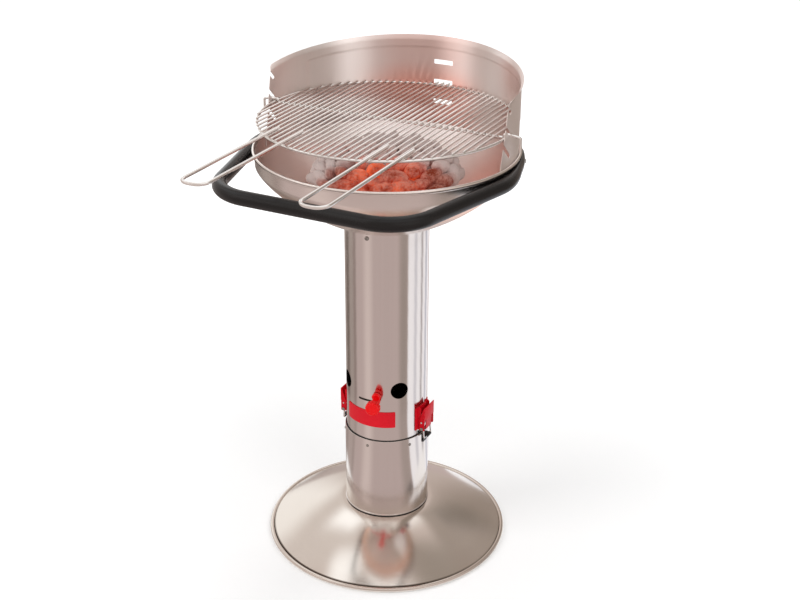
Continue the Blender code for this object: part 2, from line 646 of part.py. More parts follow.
def build_latch(side, spin):
    """One draw latch, built on the +X side and turned to its place."""
    red = (RED, 0.32, 0.0)
    black = (BLACK, 0.4, 0.0)
    bright = (BRIGHT, 0.15, 1.0)
    top = LATCH_BOTTOM + LATCH_TALL
    flange_inner = LATCH_HALF_WIDTH - LATCH_SHEET
    ear_outer = flange_inner - 2 * FIT
    ear_inner = ear_outer - 0.0012
    wall_start = math.sqrt((UPPER_TUBE_RADIUS + FIT) ** 2 - ear_inner ** 2) + 0.0001
    plate_middle = UPPER_TUBE_RADIUS + FIT + 0.0006
    half_angle = math.asin(LATCH_PLATE_HALF_WIDTH / plate_middle)

    def place(u, v):
        turn = half_angle * (2 * u - 1) + spin
        height = LATCH_BOTTOM + 0.0005 + (LATCH_TALL - 0.001) * v
        return Vector((plate_middle * math.cos(turn), plate_middle * math.sin(turn), height))

    base = sheet(f"latch_base_{side}", 8, 1, place, 0.0012, red)

    def walls(sign):
        def build(bm):
            low, high = sorted((sign * ear_inner, sign * ear_outer))
            pivot_out = LATCH_PIVOT[0] + 0.0036
            wall_out = BAIL_PIVOT[0] - BAIL_RADIUS - 0.0005
            outline = [
                (wall_start, top - 0.0005), (wall_start, LATCH_BOTTOM), (pivot_out - 0.001, LATCH_BOTTOM),
                (pivot_out, LATCH_BOTTOM + 0.001), (pivot_out, LATCH_PIVOT[1] + 0.0036),
                (wall_out, LATCH_PIVOT[1] + 0.0070), (wall_out, top - 0.003), (wall_out - 0.0025, top - 0.0005),
            ]
            outline_into(bm, outline, low, high)
        return build

    for sign in (-1, 1):
        boolean(base, latch_piece(f"base_wall_{side}_{sign + 1}", walls(sign), spin, None), "UNION")
    pin_hole = cross_hole(f"pin_hole_{side}", LATCH_PIVOT, LATCH_PIN_RADIUS + FIT, spin)
    boolean(base, pin_hole, "DIFFERENCE")

    def lever_shape(bm):
        web = LATCH_FACE - LATCH_SHEET
        box_into(bm, (web, -LATCH_HALF_WIDTH, BAIL_PIVOT[1] + 0.0045), (LATCH_FACE, LATCH_HALF_WIDTH, top))

    def flange(sign):
        def build(bm):
            low, high = sorted((sign * flange_inner, sign * LATCH_HALF_WIDTH))
            out = LATCH_FACE - 0.0005
            near = LATCH_PIVOT[0] - 0.0059
            outline = [
                (out, top - 0.0005), (out - 0.0025, top - 0.0030), (near, top - 0.0270),
                (near, LATCH_BOTTOM + 0.0020), (near + 0.0020, LATCH_BOTTOM),
                (out - 0.0010, LATCH_BOTTOM), (out, LATCH_BOTTOM + 0.0010),
            ]
            outline_into(bm, outline, low, high)
        return build

    def tongue(bm):
        inner = BAIL_HALF_WIDTH - BAIL_RADIUS - 0.0017
        face = LATCH_FACE
        outline = [
            (face, BAIL_PIVOT[1] + 0.0055), (face - LATCH_SHEET, BAIL_PIVOT[1] + 0.0055),
            (face - LATCH_SHEET - 0.0012, LATCH_BOTTOM), (face - 0.0012, LATCH_BOTTOM),
        ]
        outline_into(bm, outline, -inner, inner)

    lever = latch_piece(f"latch_lever_{side}", lever_shape, spin, red)
    for sign in (-1, 1):
        boolean(lever, latch_piece(f"lever_flange_{side}_{sign + 1}", flange(sign), spin, None), "UNION")
    boolean(lever, latch_piece(f"lever_tongue_{side}", tongue, spin, None), "UNION")
    boolean(lever, pin_hole, "DIFFERENCE")
    boolean(lever, cross_hole(f"bail_hole_{side}", BAIL_PIVOT, BAIL_RADIUS + FIT, spin), "DIFFERENCE")

    for name, sign in (("front", -1), ("rear", 1)):
        direction = sign if spin == 0 else -sign
        pin_start = ear_inner - 0.0002
        pin_end = LATCH_HALF_WIDTH + 0.0008
        way = Matrix.Translation((LATCH_PIVOT[0], 0, LATCH_PIVOT[1]))
        way = way @ Matrix.Rotation(math.radians(-90 * direction), 4, "X")
        way = Matrix.Rotation(spin, 4, "Z") @ way
        place = way @ Matrix.Translation((0, 0, pin_start))
        pin = cylinder_mesh("pin", LATCH_PIN_RADIUS, pin_end - pin_start, place, 12)
        pin_object = add_object(f"latch_pin_{side}_{name}", pin, (STEEL, 0.3, 1.0))
        cap = way @ Matrix.Translation((0, 0, LATCH_HALF_WIDTH + FIT))
        head = cylinder_mesh("pin_head", LATCH_PIN_RADIUS * 1.7, 0.0010, cap, 12)
        boolean(pin_object, add_cutter(f"pin_head_{side}_{name}", head), "UNION")

    turn = Matrix.Rotation(spin, 3, "Z")
    out_end = LATCH_HALF_WIDTH + 0.0010
    corners = [
        (BAIL_PIVOT[0], out_end, BAIL_PIVOT[1]), (BAIL_PIVOT[0], BAIL_HALF_WIDTH, BAIL_PIVOT[1]),
        (BAIL_BAR[0], BAIL_HALF_WIDTH, BAIL_BAR[1]), (BAIL_BAR[0], -BAIL_HALF_WIDTH, BAIL_BAR[1]),
        (BAIL_PIVOT[0], -BAIL_HALF_WIDTH, BAIL_PIVOT[1]), (BAIL_PIVOT[0], -out_end, BAIL_PIVOT[1]),
    ]
    route = [turn @ point for point in rounded(corners, (0.0020, 0.0030, 0.0030, 0.0020), 3)]
    wire(f"latch_bail_{side}", route, BAIL_RADIUS, bright)

    def catch_shape(bm):
        face = LOWER_TUBE_RADIUS + FIT
        back = face + 0.0015
        shelf = BAIL_BAR[1] + BAIL_RADIUS + FIT
        lip = BAIL_BAR[0] + BAIL_RADIUS + CATCH_PLAY
        outline = [
            (face, shelf + 0.0015), (face, shelf + 0.0015 - CATCH_TALL),
            (back, shelf + 0.0015 - CATCH_TALL), (back, shelf),
            (lip, shelf), (lip, shelf - CATCH_LIP - FIT),
            (lip + 0.0014, shelf - CATCH_LIP - FIT), (lip + 0.0014, shelf + 0.0015),
        ]
        outline_into(bm, outline, -CATCH_HALF_WIDTH, CATCH_HALF_WIDTH)

    catch = latch_piece(f"latch_catch_{side}", catch_shape, spin, black)
    angle = 90 if spin == 0 else -90
    height = catch_rivet_height()
    place = radial(angle, LOWER_TUBE_RADIUS - 0.008, height)
    hole = cylinder_mesh("catch_bore", LATCH_PIN_RADIUS + FIT, 0.020, place, 12)
    boolean(catch, add_cutter(f"catch_bore_{side}", hole), "DIFFERENCE")
    start = LOWER_TUBE_BORE + 0.0001
    length = LOWER_TUBE_RADIUS + FIT + 0.0015 - start
    shank = cylinder_mesh("catch_rivet", LATCH_PIN_RADIUS, length, radial(angle, start, height), 12)
    add_object(f"catch_rivet_{side}", shank, (STEEL, 0.3, 1.0))


def bowl_outside():
    """The bowl's outer face from the crease to its flat bottom, as (radius, height)."""
    points = []
    steps = 7
    for i in range(steps):
        share = (i / (steps - 1)) ** 1.4
        radius = BAND_RADIUS + (BOWL_SEAT - BAND_RADIUS) * share
        drop = 1 - (1 - share ** 0.8) ** 1.26
        points.append((radius, CREASE_HEIGHT + (BOWL_BOTTOM - CREASE_HEIGHT) * drop))
    return points


def bowl_inside():
    """The same face one sheet further in."""
    outside = bowl_outside()
    points = []
    for i, (radius, height) in enumerate(outside):
        before = outside[max(i - 1, 0)]
        after = outside[min(i + 1, len(outside) - 1)]
        run = Vector((after[0] - before[0], after[1] - before[1])).normalized()
        points.append((radius + run.y * SHEET, height - run.x * SHEET))
    points[0] = (BAND_RADIUS - SHEET, CREASE_HEIGHT + 0.0003)
    points[-1] = (BOWL_SEAT - 0.0003, BOWL_BOTTOM + SHEET)
    return points


def build_bowl():
    steel = (STEEL, 0.16, 1.0)
    bead = (BOWL_RADIUS - (BOWL_RADIUS - BAND_RADIUS + SHEET) / 2, RIM_HEIGHT - RIM_TALL / 2)
    half = (BOWL_RADIUS - BAND_RADIUS + SHEET) / 2
    roll = arc(bead, half, (140, 85, 30, -25, -80), RIM_TALL / 2 / half)
    outside = bowl_outside()
    profile = [*roll, (BAND_RADIUS, RIM_HEIGHT - RIM_TALL + 0.0010), *outside, (BOWL_MOUTH, BOWL_BOTTOM)]
    inside = [(BOWL_MOUTH, BOWL_BOTTOM + SHEET), *reversed(bowl_inside())]
    inside.append((BAND_RADIUS - SHEET, RIM_HEIGHT - RIM_TALL))
    bowl = turned("bowl", profile + inside, steel, 64)
    for side, angle in handle_sides():
        matrix = radial(angle, BAND_RADIUS - 0.010, RAIL_HEIGHT)
        hole = cylinder_mesh("bowl_bracket_hole", SCREW_RADIUS + FIT, 0.020, matrix, 12)
        boolean(bowl, add_cutter(f"bowl_hole_{side}", hole), "DIFFERENCE")

    outer = UPPER_TUBE_BORE - FIT
    inner = outer - 0.0012
    top = UPPER_TUBE_TOP
    profile = [
        (outer, top), (outer, top - SPIGOT_DEPTH), (inner, top - SPIGOT_DEPTH), (inner, top - 0.0012),
        (BOWL_MOUTH, top - 0.0012), (BOWL_MOUTH, top),
    ]
    spigot = turned("bowl_spigot", profile, (STEEL, 0.35, 1.0))
    holes_for_screws(spigot, "spigot_screw_holes", inner - 0.004)
    for i in range(BOWL_SCREWS):
        angle = 360 / BOWL_SCREWS * i
        seat = UPPER_TUBE_RADIUS + FIT
        start = inner - 0.0025
        place = radial(angle, start, BOWL_SCREW_HEIGHT)
        shank = cylinder_mesh("bowl_screw", SCREW_RADIUS, seat + 0.0005 - start, place, 12)
        screw = add_object(f"bowl_screw_{i + 1}", shank, (STEEL, 0.3, 1.0))
        head = cylinder_mesh("bowl_screw_head", 0.0042, 0.0024, radial(angle, seat, BOWL_SCREW_HEIGHT), 12)
        boolean(screw, add_cutter(f"bowl_screw_head_{i + 1}", head), "UNION")


def grid_of_bars(name, ring_radius, ring_wire, ring_height, bar_wire, places, ends, finish, segments):
    """A wire ring with parallel bars welded on top of it."""
    turns = [math.tau * k / segments for k in range(segments)]
    circle = [(ring_radius * math.cos(t), ring_radius * math.sin(t), ring_height) for t in turns]
    grid = as_mesh(wire(name, circle, ring_wire, None, closed=True, sides=1))
    paint(grid, *finish)
    bm = bmesh.new()
    for x, (front, back) in zip(places, ends):
        place = Matrix.Translation((x, back, ring_height)) @ Matrix.Rotation(math.radians(90), 4, "X")
        bore_into(bm, place, bar_wire, back - front, 6)
    lift = ring_wire + bar_wire - 0.0012
    bmesh.ops.translate(bm, verts=bm.verts, vec=(0, 0, lift))
    boolean(grid, add_cutter(name + "_bars", mesh_from(bm, name + "_bars")), "UNION")
    return ring_height + lift


def build_charcoal():
    slope_from = bowl_inside()
    radius = CHARCOAL_GRID_RADIUS
    low = height_at(slope_from, radius)
    slope = math.atan((height_at(slope_from, radius + 0.01) - height_at(slope_from, radius - 0.01)) / 0.02)
    ring_height = low + (CHARCOAL_WIRE + 2 * FIT) / math.cos(slope)
    count = int(radius / CHARCOAL_PITCH - 0.5)
    places = [CHARCOAL_PITCH * i for i in range(-count, count + 1)]
    reach = [math.sqrt(radius ** 2 - x ** 2) for x in places]
    ends = [(-r, r) for r in reach]
    steel = (STEEL, 0.4, 1.0)
    wire_radius = CHARCOAL_WIRE
    bars = grid_of_bars("charcoal_grid", radius, wire_radius, ring_height, wire_radius, places, ends, steel, 30)
    floor = bars + CHARCOAL_WIRE + FIT
    tall = HEAP_TOP - floor
    shape = (
        (0.25, 0.985), (0.5, 0.93), (0.72, 0.82), (0.88, 0.66),
        (0.97, 0.46), (1.0, 0.25), (0.95, 0.08), (0.86, 0.0),
    )
    bm = bmesh.new()
    sides = 24
    loops = []
    for share, rise in shape:
        loop = []
        for k in range(sides):
            turn = math.tau * k / sides
            ripple = 0.045 * math.sin(5 * turn + 9 * rise) + 0.03 * math.sin(11 * turn + 4 * rise)
            lump = 0.028 * math.sin(7 * turn + 12 * share) if 0.05 < rise < 0.99 else 0.0
            r = HEAP_RADIUS * share * (1 + ripple * (share > 0.3))
            height = floor + tall * max(rise + lump, 0.0) * (rise > 0)
            loop.append(bm.verts.new((r * math.cos(turn), r * math.sin(turn), height)))
        loops.append(loop)
    tip = bm.verts.new((0, 0, HEAP_TOP))
    for k in range(sides):
        bm.faces.new((tip, loops[0][k], loops[0][(k + 1) % sides]))
        for a, b in zip(loops, loops[1:]):
            bm.faces.new((a[k], b[k], b[(k + 1) % sides], a[(k + 1) % sides]))
    bm.faces.new(loops[-1])
    add_object("charcoal_bed", mesh_from(bm, "charcoal_bed", smooth=False), (EMBER, 0.9, 0.0))


def build_windshield():
    outer = BAND_RADIUS - SHEET - SHIELD_PLAY
    middle = outer - SHIELD_SHEET / 2
    low = CREASE_HEIGHT - 0.0004
    levels = (0, 0.40, 0.72, 0.95, 1)
    flare = (0.35, 0.68, 1)

    def end_reach(height):
        """How far in front of the axis the sheet's end lies at a height."""
        return SHIELD_END_LOW - SHIELD_END_LEAN * (height - RIM_HEIGHT)

    def place(u, v):
        row = round(v * (len(levels) + len(flare) - 1))
        side = 2 * u - 1
        angle = side * math.pi / 2
        for _ in range(2):
            top = SHIELD_END_HEIGHT + SHIELD_RISE * max(0.0, math.cos(angle))
            wall_top = top - SHIELD_FLARE
            share = flare[row - len(levels)] if row >= len(levels) else 0.0
            rise = levels[row] if row < len(levels) else 1.0
            height = low + (wall_top - low) * rise + SHIELD_FLARE * share
            out = SHIELD_FLARE_OUT * share ** 1.4
            below = SHIELD_END_HEIGHT - height
            cut = SHIELD_CORNER - below
            inset = SHIELD_CORNER - math.sqrt(max(SHIELD_CORNER ** 2 - cut ** 2, 0.0)) if cut > 0 else 0.0
            inset = min(inset, SHIELD_CORNER)
            reach = math.asin((end_reach(height) - inset) / middle)
            angle = side * (math.pi / 2 + reach)
        radius = middle + out
        return Vector((radius * math.sin(angle), radius * math.cos(angle), height))

    shield = sheet("windshield", 46, len(levels) + len(flare) - 1, place, SHIELD_SHEET, (STEEL, 0.14, 1.0))
    slot_middle = GRATE_HEIGHT - BAR_WIRE - FIT + SLOT_TALL / 2
    for level, name in ((-1, "low"), (0, "middle"), (1, "high")):
        shift = level * LEVEL_STEP
        height = slot_middle + shift
        low_corner = (-SLOT_WIDTH / 2, middle - SLOT_WIDTH / 3, height - SLOT_TALL / 2)
        high_corner = (SLOT_WIDTH / 2, middle + SLOT_WIDTH / 3, height + SLOT_TALL / 2)
        boolean(shield, box(f"rear_slot_{name}", low_corner, high_corner), "DIFFERENCE")
        for side, sign in (("left", -1), ("right", 1)):
            z = HOOK_HEIGHT + NOTCH_RADIUS - CROSS_WIRE - FIT + shift
            across = NOTCH_RADIUS * 9
            length = SHIELD_END_LOW * 1.45
            centre = Matrix.Translation((sign * middle, 0, z))
            bm = bmesh.new()
            turn = Matrix.Rotation(math.radians(90), 4, "Y") @ Matrix.Translation((0, 0, -across / 2))
            bore_into(bm, centre @ turn, NOTCH_RADIUS, across, 16)
            boolean(shield, add_cutter(f"notch_end_{side}_{name}", mesh_from(bm, "notch_end")), "DIFFERENCE")
            bm = bmesh.new()
            way = centre @ Matrix.Rotation(math.radians(-45), 4, "X") @ Matrix.Translation((0, -length / 2, 0))
            size = Matrix.Diagonal((across, length, 2 * NOTCH_RADIUS, 1))
            bmesh.ops.create_cube(bm, size=1, matrix=way @ size)
            tool = add_cutter(f"notch_way_{side}_{name}", mesh_from(bm, "notch_way", False))
            boolean(shield, tool, "DIFFERENCE")


def build_grate():
    bright = (BRIGHT, 0.12, 1.0)
    places = [BAR_PITCH * i for i in range(-BARS_EACH_SIDE, BARS_EACH_SIDE + 1)]
    ends = []
    shield_inner = BAND_RADIUS - SHEET - SHIELD_PLAY - SHIELD_SHEET
    for i, x in zip(range(-BARS_EACH_SIDE, BARS_EACH_SIDE + 1), places):
        reach = math.sqrt(GRATE_RADIUS ** 2 - (abs(x) + BAR_WIRE) ** 2)
        rear = shield_inner + TONGUE if abs(i) <= TONGUE_BARS else reach
        ends.append((-reach, rear))
    grid_of_bars("cooking_grate", RING_RADIUS, RING_WIRE, RING_HEIGHT, BAR_WIRE, places, ends, bright, 56)

    under = GRATE_HEIGHT - BAR_WIRE - CROSS_WIRE - FIT
    leg = RING_RADIUS - RING_WIRE - CROSS_WIRE - FIT
    side = [
        (leg, 0, under), (leg, 0, HOOK_HEIGHT),
        (HOOK_REACH, 0, HOOK_HEIGHT), (HOOK_REACH, 0, HOOK_HEIGHT - HOOK_DROP),
    ]
    corners = [(-x, y, z) for x, y, z in reversed(side)] + side
    bend = min(CROSS_WIRE * 1.3, (HOOK_HEIGHT - under) * 0.45)  # two of them fit into the short rise
    wire("cross_wire", rounded(corners, [bend] * 6, 2), CROSS_WIRE, bright)

    height = GRATE_HEIGHT + BAR_WIRE + HANDLE_WIRE + FIT
    near = HANDLE_BAR_NEAR * BAR_PITCH
    far = HANDLE_BAR_FAR * BAR_PITCH
    for side, sign in (("left", -1), ("right", 1)):
        corners = [
            (sign * near, -HANDLE_START, height), (sign * near, -HANDLE_REACH, height),
            (sign * far, -HANDLE_REACH, height), (sign * far, -HANDLE_START, height),
        ]
        wire(f"grate_handle_{side}", rounded(corners, [(far - near) * 0.42] * 2, 8), HANDLE_WIRE, bright)


def handle_sides():
    return (("left", -RAIL_SCREW), ("right", RAIL_SCREW))


def rail_stations():
    """The right half of the handle from its middle, as (x, y, outward normal, half thickness)."""
    splay = math.radians(RAIL_SPLAY)
    hug = BAND_RADIUS + FIT + RAIL_RADIUS
    corner = (hug - RAIL_FRONT * math.sin(splay)) / math.cos(splay)
    turn = math.pi / 2 - splay
    start = corner - RAIL_CORNER * math.tan(turn / 2)
    stations = [(0.0, -RAIL_FRONT, Vector((0, -1, 0)), RAIL_RADIUS)]
    for k in range(8):
        way = turn * k / 7
        out = Vector((math.sin(way), -math.cos(way), 0))
        x, y, _ = Vector((start, -RAIL_FRONT + RAIL_CORNER, 0)) + out * RAIL_CORNER
        stations.append((x, y, out, RAIL_RADIUS))
    first = 90 - RAIL_SPLAY
    for angle in (first, 79.5, 84.0, 88.5, 93.0, 98.0, RAIL_FLAT_AT, 109.0, 114.0, RAIL_END):
        share = min(max((angle - RAIL_FLAT_FROM) / (RAIL_FLAT_AT - RAIL_FLAT_FROM), 0.0), 1.0)
        half = RAIL_RADIUS + (RAIL_FLAT - RAIL_RADIUS) * share * share * (3 - 2 * share)
        way = math.radians(angle)
        out = Vector((math.sin(way), -math.cos(way), 0))
        x, y, _ = out * (BAND_RADIUS + FIT + half)
        stations.append((x, y, out, half))
    return stations


def build_rail():
    """The black handle round the front of the bowl, and the screws through its flattened ends."""
    right = rail_stations()
    left = [(-x, y, Vector((-out.x, out.y, 0)), half) for x, y, out, half in reversed(right[1:])]
    sides = 12
    bm = bmesh.new()
    loops = []
    for x, y, out, half in left + right:
        loop = []
        for k in range(sides):
            turn = math.tau * k / sides
            point = Vector((x, y, RAIL_HEIGHT)) + out * half * math.cos(turn)
            point.z += RAIL_RADIUS * math.sin(turn)
            loop.append(bm.verts.new(point))
        loops.append(loop)
    for a, b in zip(loops, loops[1:]):
        for k in range(sides):
            bm.faces.new((a[k], a[(k + 1) % sides], b[(k + 1) % sides], b[k]))
    bm.faces.new(loops[0])
    bm.faces.new(loops[-1])
    rail = add_object("handle_rail", mesh_from(bm, "handle_rail"), (BLACK, 0.35, 0.0))
    inside = BAND_RADIUS - SHEET
    outside = BAND_RADIUS + FIT + 2 * RAIL_FLAT
    for side, angle in handle_sides():
        place = radial(angle, inside - 0.005, RAIL_HEIGHT)
        hole = cylinder_mesh("rail_hole", SCREW_RADIUS + FIT, 0.030, place, 12)
        boolean(rail, add_cutter(f"rail_hole_{side}", hole), "DIFFERENCE")
        length = outside + 0.001 - inside - 0.0001
        place = radial(angle, inside + 0.0001, RAIL_HEIGHT)
        shank = cylinder_mesh("handle_screw", SCREW_RADIUS, length, place, 12)
        screw = add_object(f"handle_screw_{side}", shank, (STEEL, 0.3, 1.0))
        place = radial(angle, outside + FIT, RAIL_HEIGHT)
        head = cylinder_mesh("handle_screw_head", 0.0042, 0.0018, place, 12)
        boolean(screw, add_cutter(f"handle_screw_head_{side}", head), "UNION")


clear_scene()
parts = new_collection("charcoal_barbecue", False)
cutters = new_collection("cutters", True)
carrier = bpy.data.objects.new("column_axis", None)
carrier.location = (0, AXIS_Y, 0)
parts.objects.link(carrier)
build_base()
build_foot()
build_joint()
build_upper_tube()
build_knob()
build_label()
build_latch("right", 0.0)
build_latch("left", math.pi)
build_bowl()
build_charcoal()
build_windshield()
build_grate()
build_rail()
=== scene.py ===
import json
import math
import random

import bpy
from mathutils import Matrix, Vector, noise

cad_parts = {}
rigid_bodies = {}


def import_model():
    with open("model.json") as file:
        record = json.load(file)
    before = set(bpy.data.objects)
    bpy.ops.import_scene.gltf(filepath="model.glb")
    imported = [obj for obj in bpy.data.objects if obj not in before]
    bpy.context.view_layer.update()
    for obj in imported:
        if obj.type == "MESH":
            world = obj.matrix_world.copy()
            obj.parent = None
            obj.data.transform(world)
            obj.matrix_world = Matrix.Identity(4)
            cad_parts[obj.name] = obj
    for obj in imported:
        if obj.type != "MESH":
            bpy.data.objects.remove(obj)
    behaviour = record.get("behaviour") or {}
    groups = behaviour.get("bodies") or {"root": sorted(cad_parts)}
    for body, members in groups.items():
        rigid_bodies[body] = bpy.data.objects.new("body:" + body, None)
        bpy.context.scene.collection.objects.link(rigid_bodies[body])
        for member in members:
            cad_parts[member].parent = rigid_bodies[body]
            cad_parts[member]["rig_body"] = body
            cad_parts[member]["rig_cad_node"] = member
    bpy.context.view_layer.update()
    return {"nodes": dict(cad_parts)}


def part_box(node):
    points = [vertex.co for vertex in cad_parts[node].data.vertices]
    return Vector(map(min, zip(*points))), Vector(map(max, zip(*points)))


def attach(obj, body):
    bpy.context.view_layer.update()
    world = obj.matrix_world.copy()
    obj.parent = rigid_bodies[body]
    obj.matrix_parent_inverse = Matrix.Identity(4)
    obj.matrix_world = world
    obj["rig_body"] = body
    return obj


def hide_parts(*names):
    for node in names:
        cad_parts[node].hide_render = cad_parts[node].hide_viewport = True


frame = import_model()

# The looks of a charcoal barbecue, built on its CAD frame. Metres, +Z up, front towards -Y.
tubeLow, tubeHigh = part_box("upper_tube")
axisY = (tubeLow.y + tubeHigh.y) / 2  # the column's axis stands at x 0 and this y
upwards = Vector((0, 0, 1))
print("stage: frame loaded,", len(frame["nodes"]), "nodes")


# The camera stands as the photograph's did. Angles are in degrees, focal, middle and width in pixels.
cameraValues = {
    "turn": 27.3, "away": 2.28, "height": 1.5815, "down": 25.39,
    "focal": 1340.5, "middle": 386.88, "width": 800, "film": 36,
}


def makeCamera():
    v = cameraValues
    turn = math.radians(v["turn"])
    down = math.radians(v["down"])
    place = Vector((math.sin(turn) * v["away"], axisY - math.cos(turn) * v["away"], v["height"]))
    ahead = Vector((-math.sin(turn) * math.cos(down), math.cos(turn) * math.cos(down), -math.sin(down)))
    bpy.ops.object.camera_add(location=place, rotation=ahead.to_track_quat("-Z", "Y").to_euler())
    camera = bpy.context.object
    camera.name = "camera"
    camera.data.lens = v["focal"] * v["film"] / v["width"]
    camera.data.shift_x = (v["width"] / 2 - v["middle"]) / v["width"]
    bpy.context.scene.camera = camera
    bpy.context.scene.view_settings.view_transform = "Standard"


makeCamera()
print("stage: camera")


# Finishes
class Socket:
    # a socket of a finish, so that a mask can be written as a sum
    def __init__(self, finish, socket):
        self.finish = finish
        self.socket = socket

    def maths(self, operation, *values):
        return self.finish.node("ShaderNodeMath", {"operation": operation}, dict(enumerate(values)))

    def size(self):
        return self.maths("ABSOLUTE", self)

    def __add__(self, other):
        return self.maths("ADD", self, other)

    def __sub__(self, other):
        return self.maths("SUBTRACT", self, other)

    def __rsub__(self, other):
        return self.maths("SUBTRACT", other, self)

    def __mul__(self, other):
        return self.maths("MULTIPLY", self, other)

    def __pow__(self, other):
        return self.maths("POWER", self, other)


class Finish:
    # the nodes of a new material with the given name, or of a world
    def __init__(self, owner, shader="Principled BSDF", **fixed):
        self.material = bpy.data.materials.new(owner) if isinstance(owner, str) else owner
        self.material.use_nodes = True
        self.tree = self.material.node_tree
        self.shader = self.tree.nodes[shader]
        for key, value in fixed.items():
            socket = self.shader.inputs[key.replace("_", " ")]
            socket.default_value = (*value, 1) if socket.type == "RGBA" else value

    def node(self, kind, settings=None, inputs=None):
        made = self.tree.nodes.new(kind)
        for key, value in (settings or {}).items():
            if key == "stops":
                stops = made.color_ramp.elements
                stops.remove(stops[1])
                for i, (where, colour) in enumerate(value):
                    stop = stops[0] if i == 0 else stops.new(where)
                    stop.position = where
                    stop.color = (*colour, 1) if isinstance(colour, tuple) else (colour, colour, colour, 1)
            else:
                setattr(made, key, value)
        for key, value in (inputs or {}).items():
            live = [s for s in made.inputs if s.enabled]
            socket = live[key] if isinstance(key, int) else next(s for s in live if s.name == key)
            if isinstance(value, Socket):
                self.tree.links.new(value.socket, socket)
            else:
                socket.default_value = (*value, 1) if socket.type == "RGBA" else value
        return Socket(self, next(s for s in made.outputs if s.enabled))

    def named(self, kind, name):
        # the output of a new node that has this name
        return Socket(self, self.node(kind).socket.node.outputs[name])

    def point(self):
        # the place on the object, measured from the column's axis
        spot = self.named("ShaderNodeTexCoord", "Object")
        return self.node("ShaderNodeMapping", {}, {"Vector": spot, "Location": (0, -axisY, 0)})

    def parts(self, point):
        split = self.tree.nodes.new("ShaderNodeSeparateXYZ")
        self.tree.links.new(point.socket, split.inputs[0])
        return [Socket(self, s) for s in split.outputs]

    def joined(self, x, y, z):
        return self.node("ShaderNodeCombineXYZ", {}, {0: x, 1: y, 2: z})

    def cloud(self, vector, scale, detail=3.0, rough=0.5):
        inputs = {"Vector": vector, "Scale": scale, "Detail": detail, "Roughness": rough}
        return self.node("ShaderNodeTexNoise", {}, inputs)

    def ramp(self, value, stops):
        return self.node("ShaderNodeValToRGB", {"stops": stops}, {0: value})

    def blend(self, share, first, second):
        return self.node("ShaderNodeMix", {"data_type": "RGBA"}, {"Factor": share, "A": first, "B": second})

    def step(self, value, low, high, first=0.0, last=1.0, kind="SMOOTHSTEP"):
        # goes from first to last while the value goes from low to high
        inputs = {0: value, 1: low, 2: high, 3: first, 4: last}
        return self.node("ShaderNodeMapRange", {"interpolation_type": kind}, inputs)

    def window(self, value, middle, half, soft):
        # 1 within half of the middle, with soft edges
        return self.step((value - middle).size(), half + soft, max(half - soft, 0.0))

    def feed(self, name, value):
        self.tree.links.new(value.socket, self.shader.inputs[name])

    def bump(self, height, distance):
        inputs = {"Strength": 1.0, "Distance": distance, "Height": height}
        self.feed("Normal", self.node("ShaderNodeBump", {}, inputs))


def brushedSteel(name, colour, rough, stretch, lines, spread, relief, tint=None):
    # lines is round, for steel brushed round the axis, or upright; stretch draws the gloss out up and down
    steel = Finish(
        name, Metallic=1.0, Base_Color=colour, Roughness=rough,
        Anisotropic=stretch, Anisotropic_Rotation=0.25,
    )
    point = steel.point()
    x, y, z = steel.parts(point)
    angle = x.maths("ARCTAN2", x, y * -1.0)
    radius = (x * x + y * y) ** 0.5
    if lines == "round":
        fine = steel.cloud(steel.joined(angle * 2.2, radius * 700.0, z * 700.0), 1.0, 3.0, 0.6)
        broad = steel.cloud(steel.joined(angle * 1.2, radius * 40.0, z * 40.0), 1.0, 3.0)
    else:
        fine = steel.cloud(steel.joined(angle * 130.0, radius * 40.0, z * 3.0), 1.0, 3.0, 0.6)
        broad = steel.cloud(steel.joined(angle * 9.0, radius * 10.0, z * 1.3), 1.0, 2.0)
    smear = steel.cloud(point, 9.0, 4.0, 0.55)
    dark = tuple(c * (1 - spread) for c in colour)
    light = tuple(min(c * (1 + spread * 0.6), 1.0) for c in colour)
    tone = steel.blend(fine * 0.55 + broad * 0.45, dark, light)
    # the tint adds the steel's heat tint, painted shade or painted reflection
    if tint:
        tone = tint(steel, tone, x, y, z, radius)
    steel.feed("Base Color", tone)
    steel.feed("Roughness", (fine - 0.5) * 0.08 + rough + (smear - 0.5) * 0.08)
    steel.bump(fine * 0.7 + broad * 0.3, relief)
    return steel


# Ranges go from none to all of each tint, painted shade and painted glow: heights and radii in metres,
# glowHalf in radians
tintValues = {
    "copper": (0.98, 0.54, 0.36), "copperHeight": (0.745, 0.790), "copperRadius": (0.150, 0.208),
    "copperShare": (0.02, 0.90),
    "crease": (0.10, 0.07, 0.05), "creaseRadius": 0.2276, "creaseHalf": (0.0006, 0.0030),
    "creaseFront": (0.05, 0.18), "creaseShare": (0.10, 0.92),
    "warm": (0.66, 0.40, 0.35), "warmShare": 0.62, "glow": (0.86, 0.34, 0.25), "glowShare": 0.70,
    "glowMiddle": -0.15, "glowHalf": (0.16, 0.66), "glowHeight": (0.835, 0.905),
}


def firedUnderside(steel, tone, x, y, z, radius):
    # straw and copper heat tint, which the fire leaves on the bowl from its crease down
    v = tintValues
    patch = steel.cloud(steel.joined(x, y, z), 5.0, 3.0)
    low = 1 - steel.step(z + patch * 0.02, *v["copperHeight"])
    wide = steel.step(radius, *v["copperRadius"], *v["copperShare"])
    return steel.blend(low * wide, tone, v["copper"])


def rimShade(steel, tone, x, y, z, radius):
    # the crease between the foot's dish and its rolled rim is in its own shade, more so in front
    v = tintValues
    line = 1 - steel.step((radius - v["creaseRadius"]).size(), *v["creaseHalf"])
    front = steel.step(y * -1.0, *v["creaseFront"], *v["creaseShare"], kind="LINEAR")
    return steel.blend(line * front, tone, v["crease"])


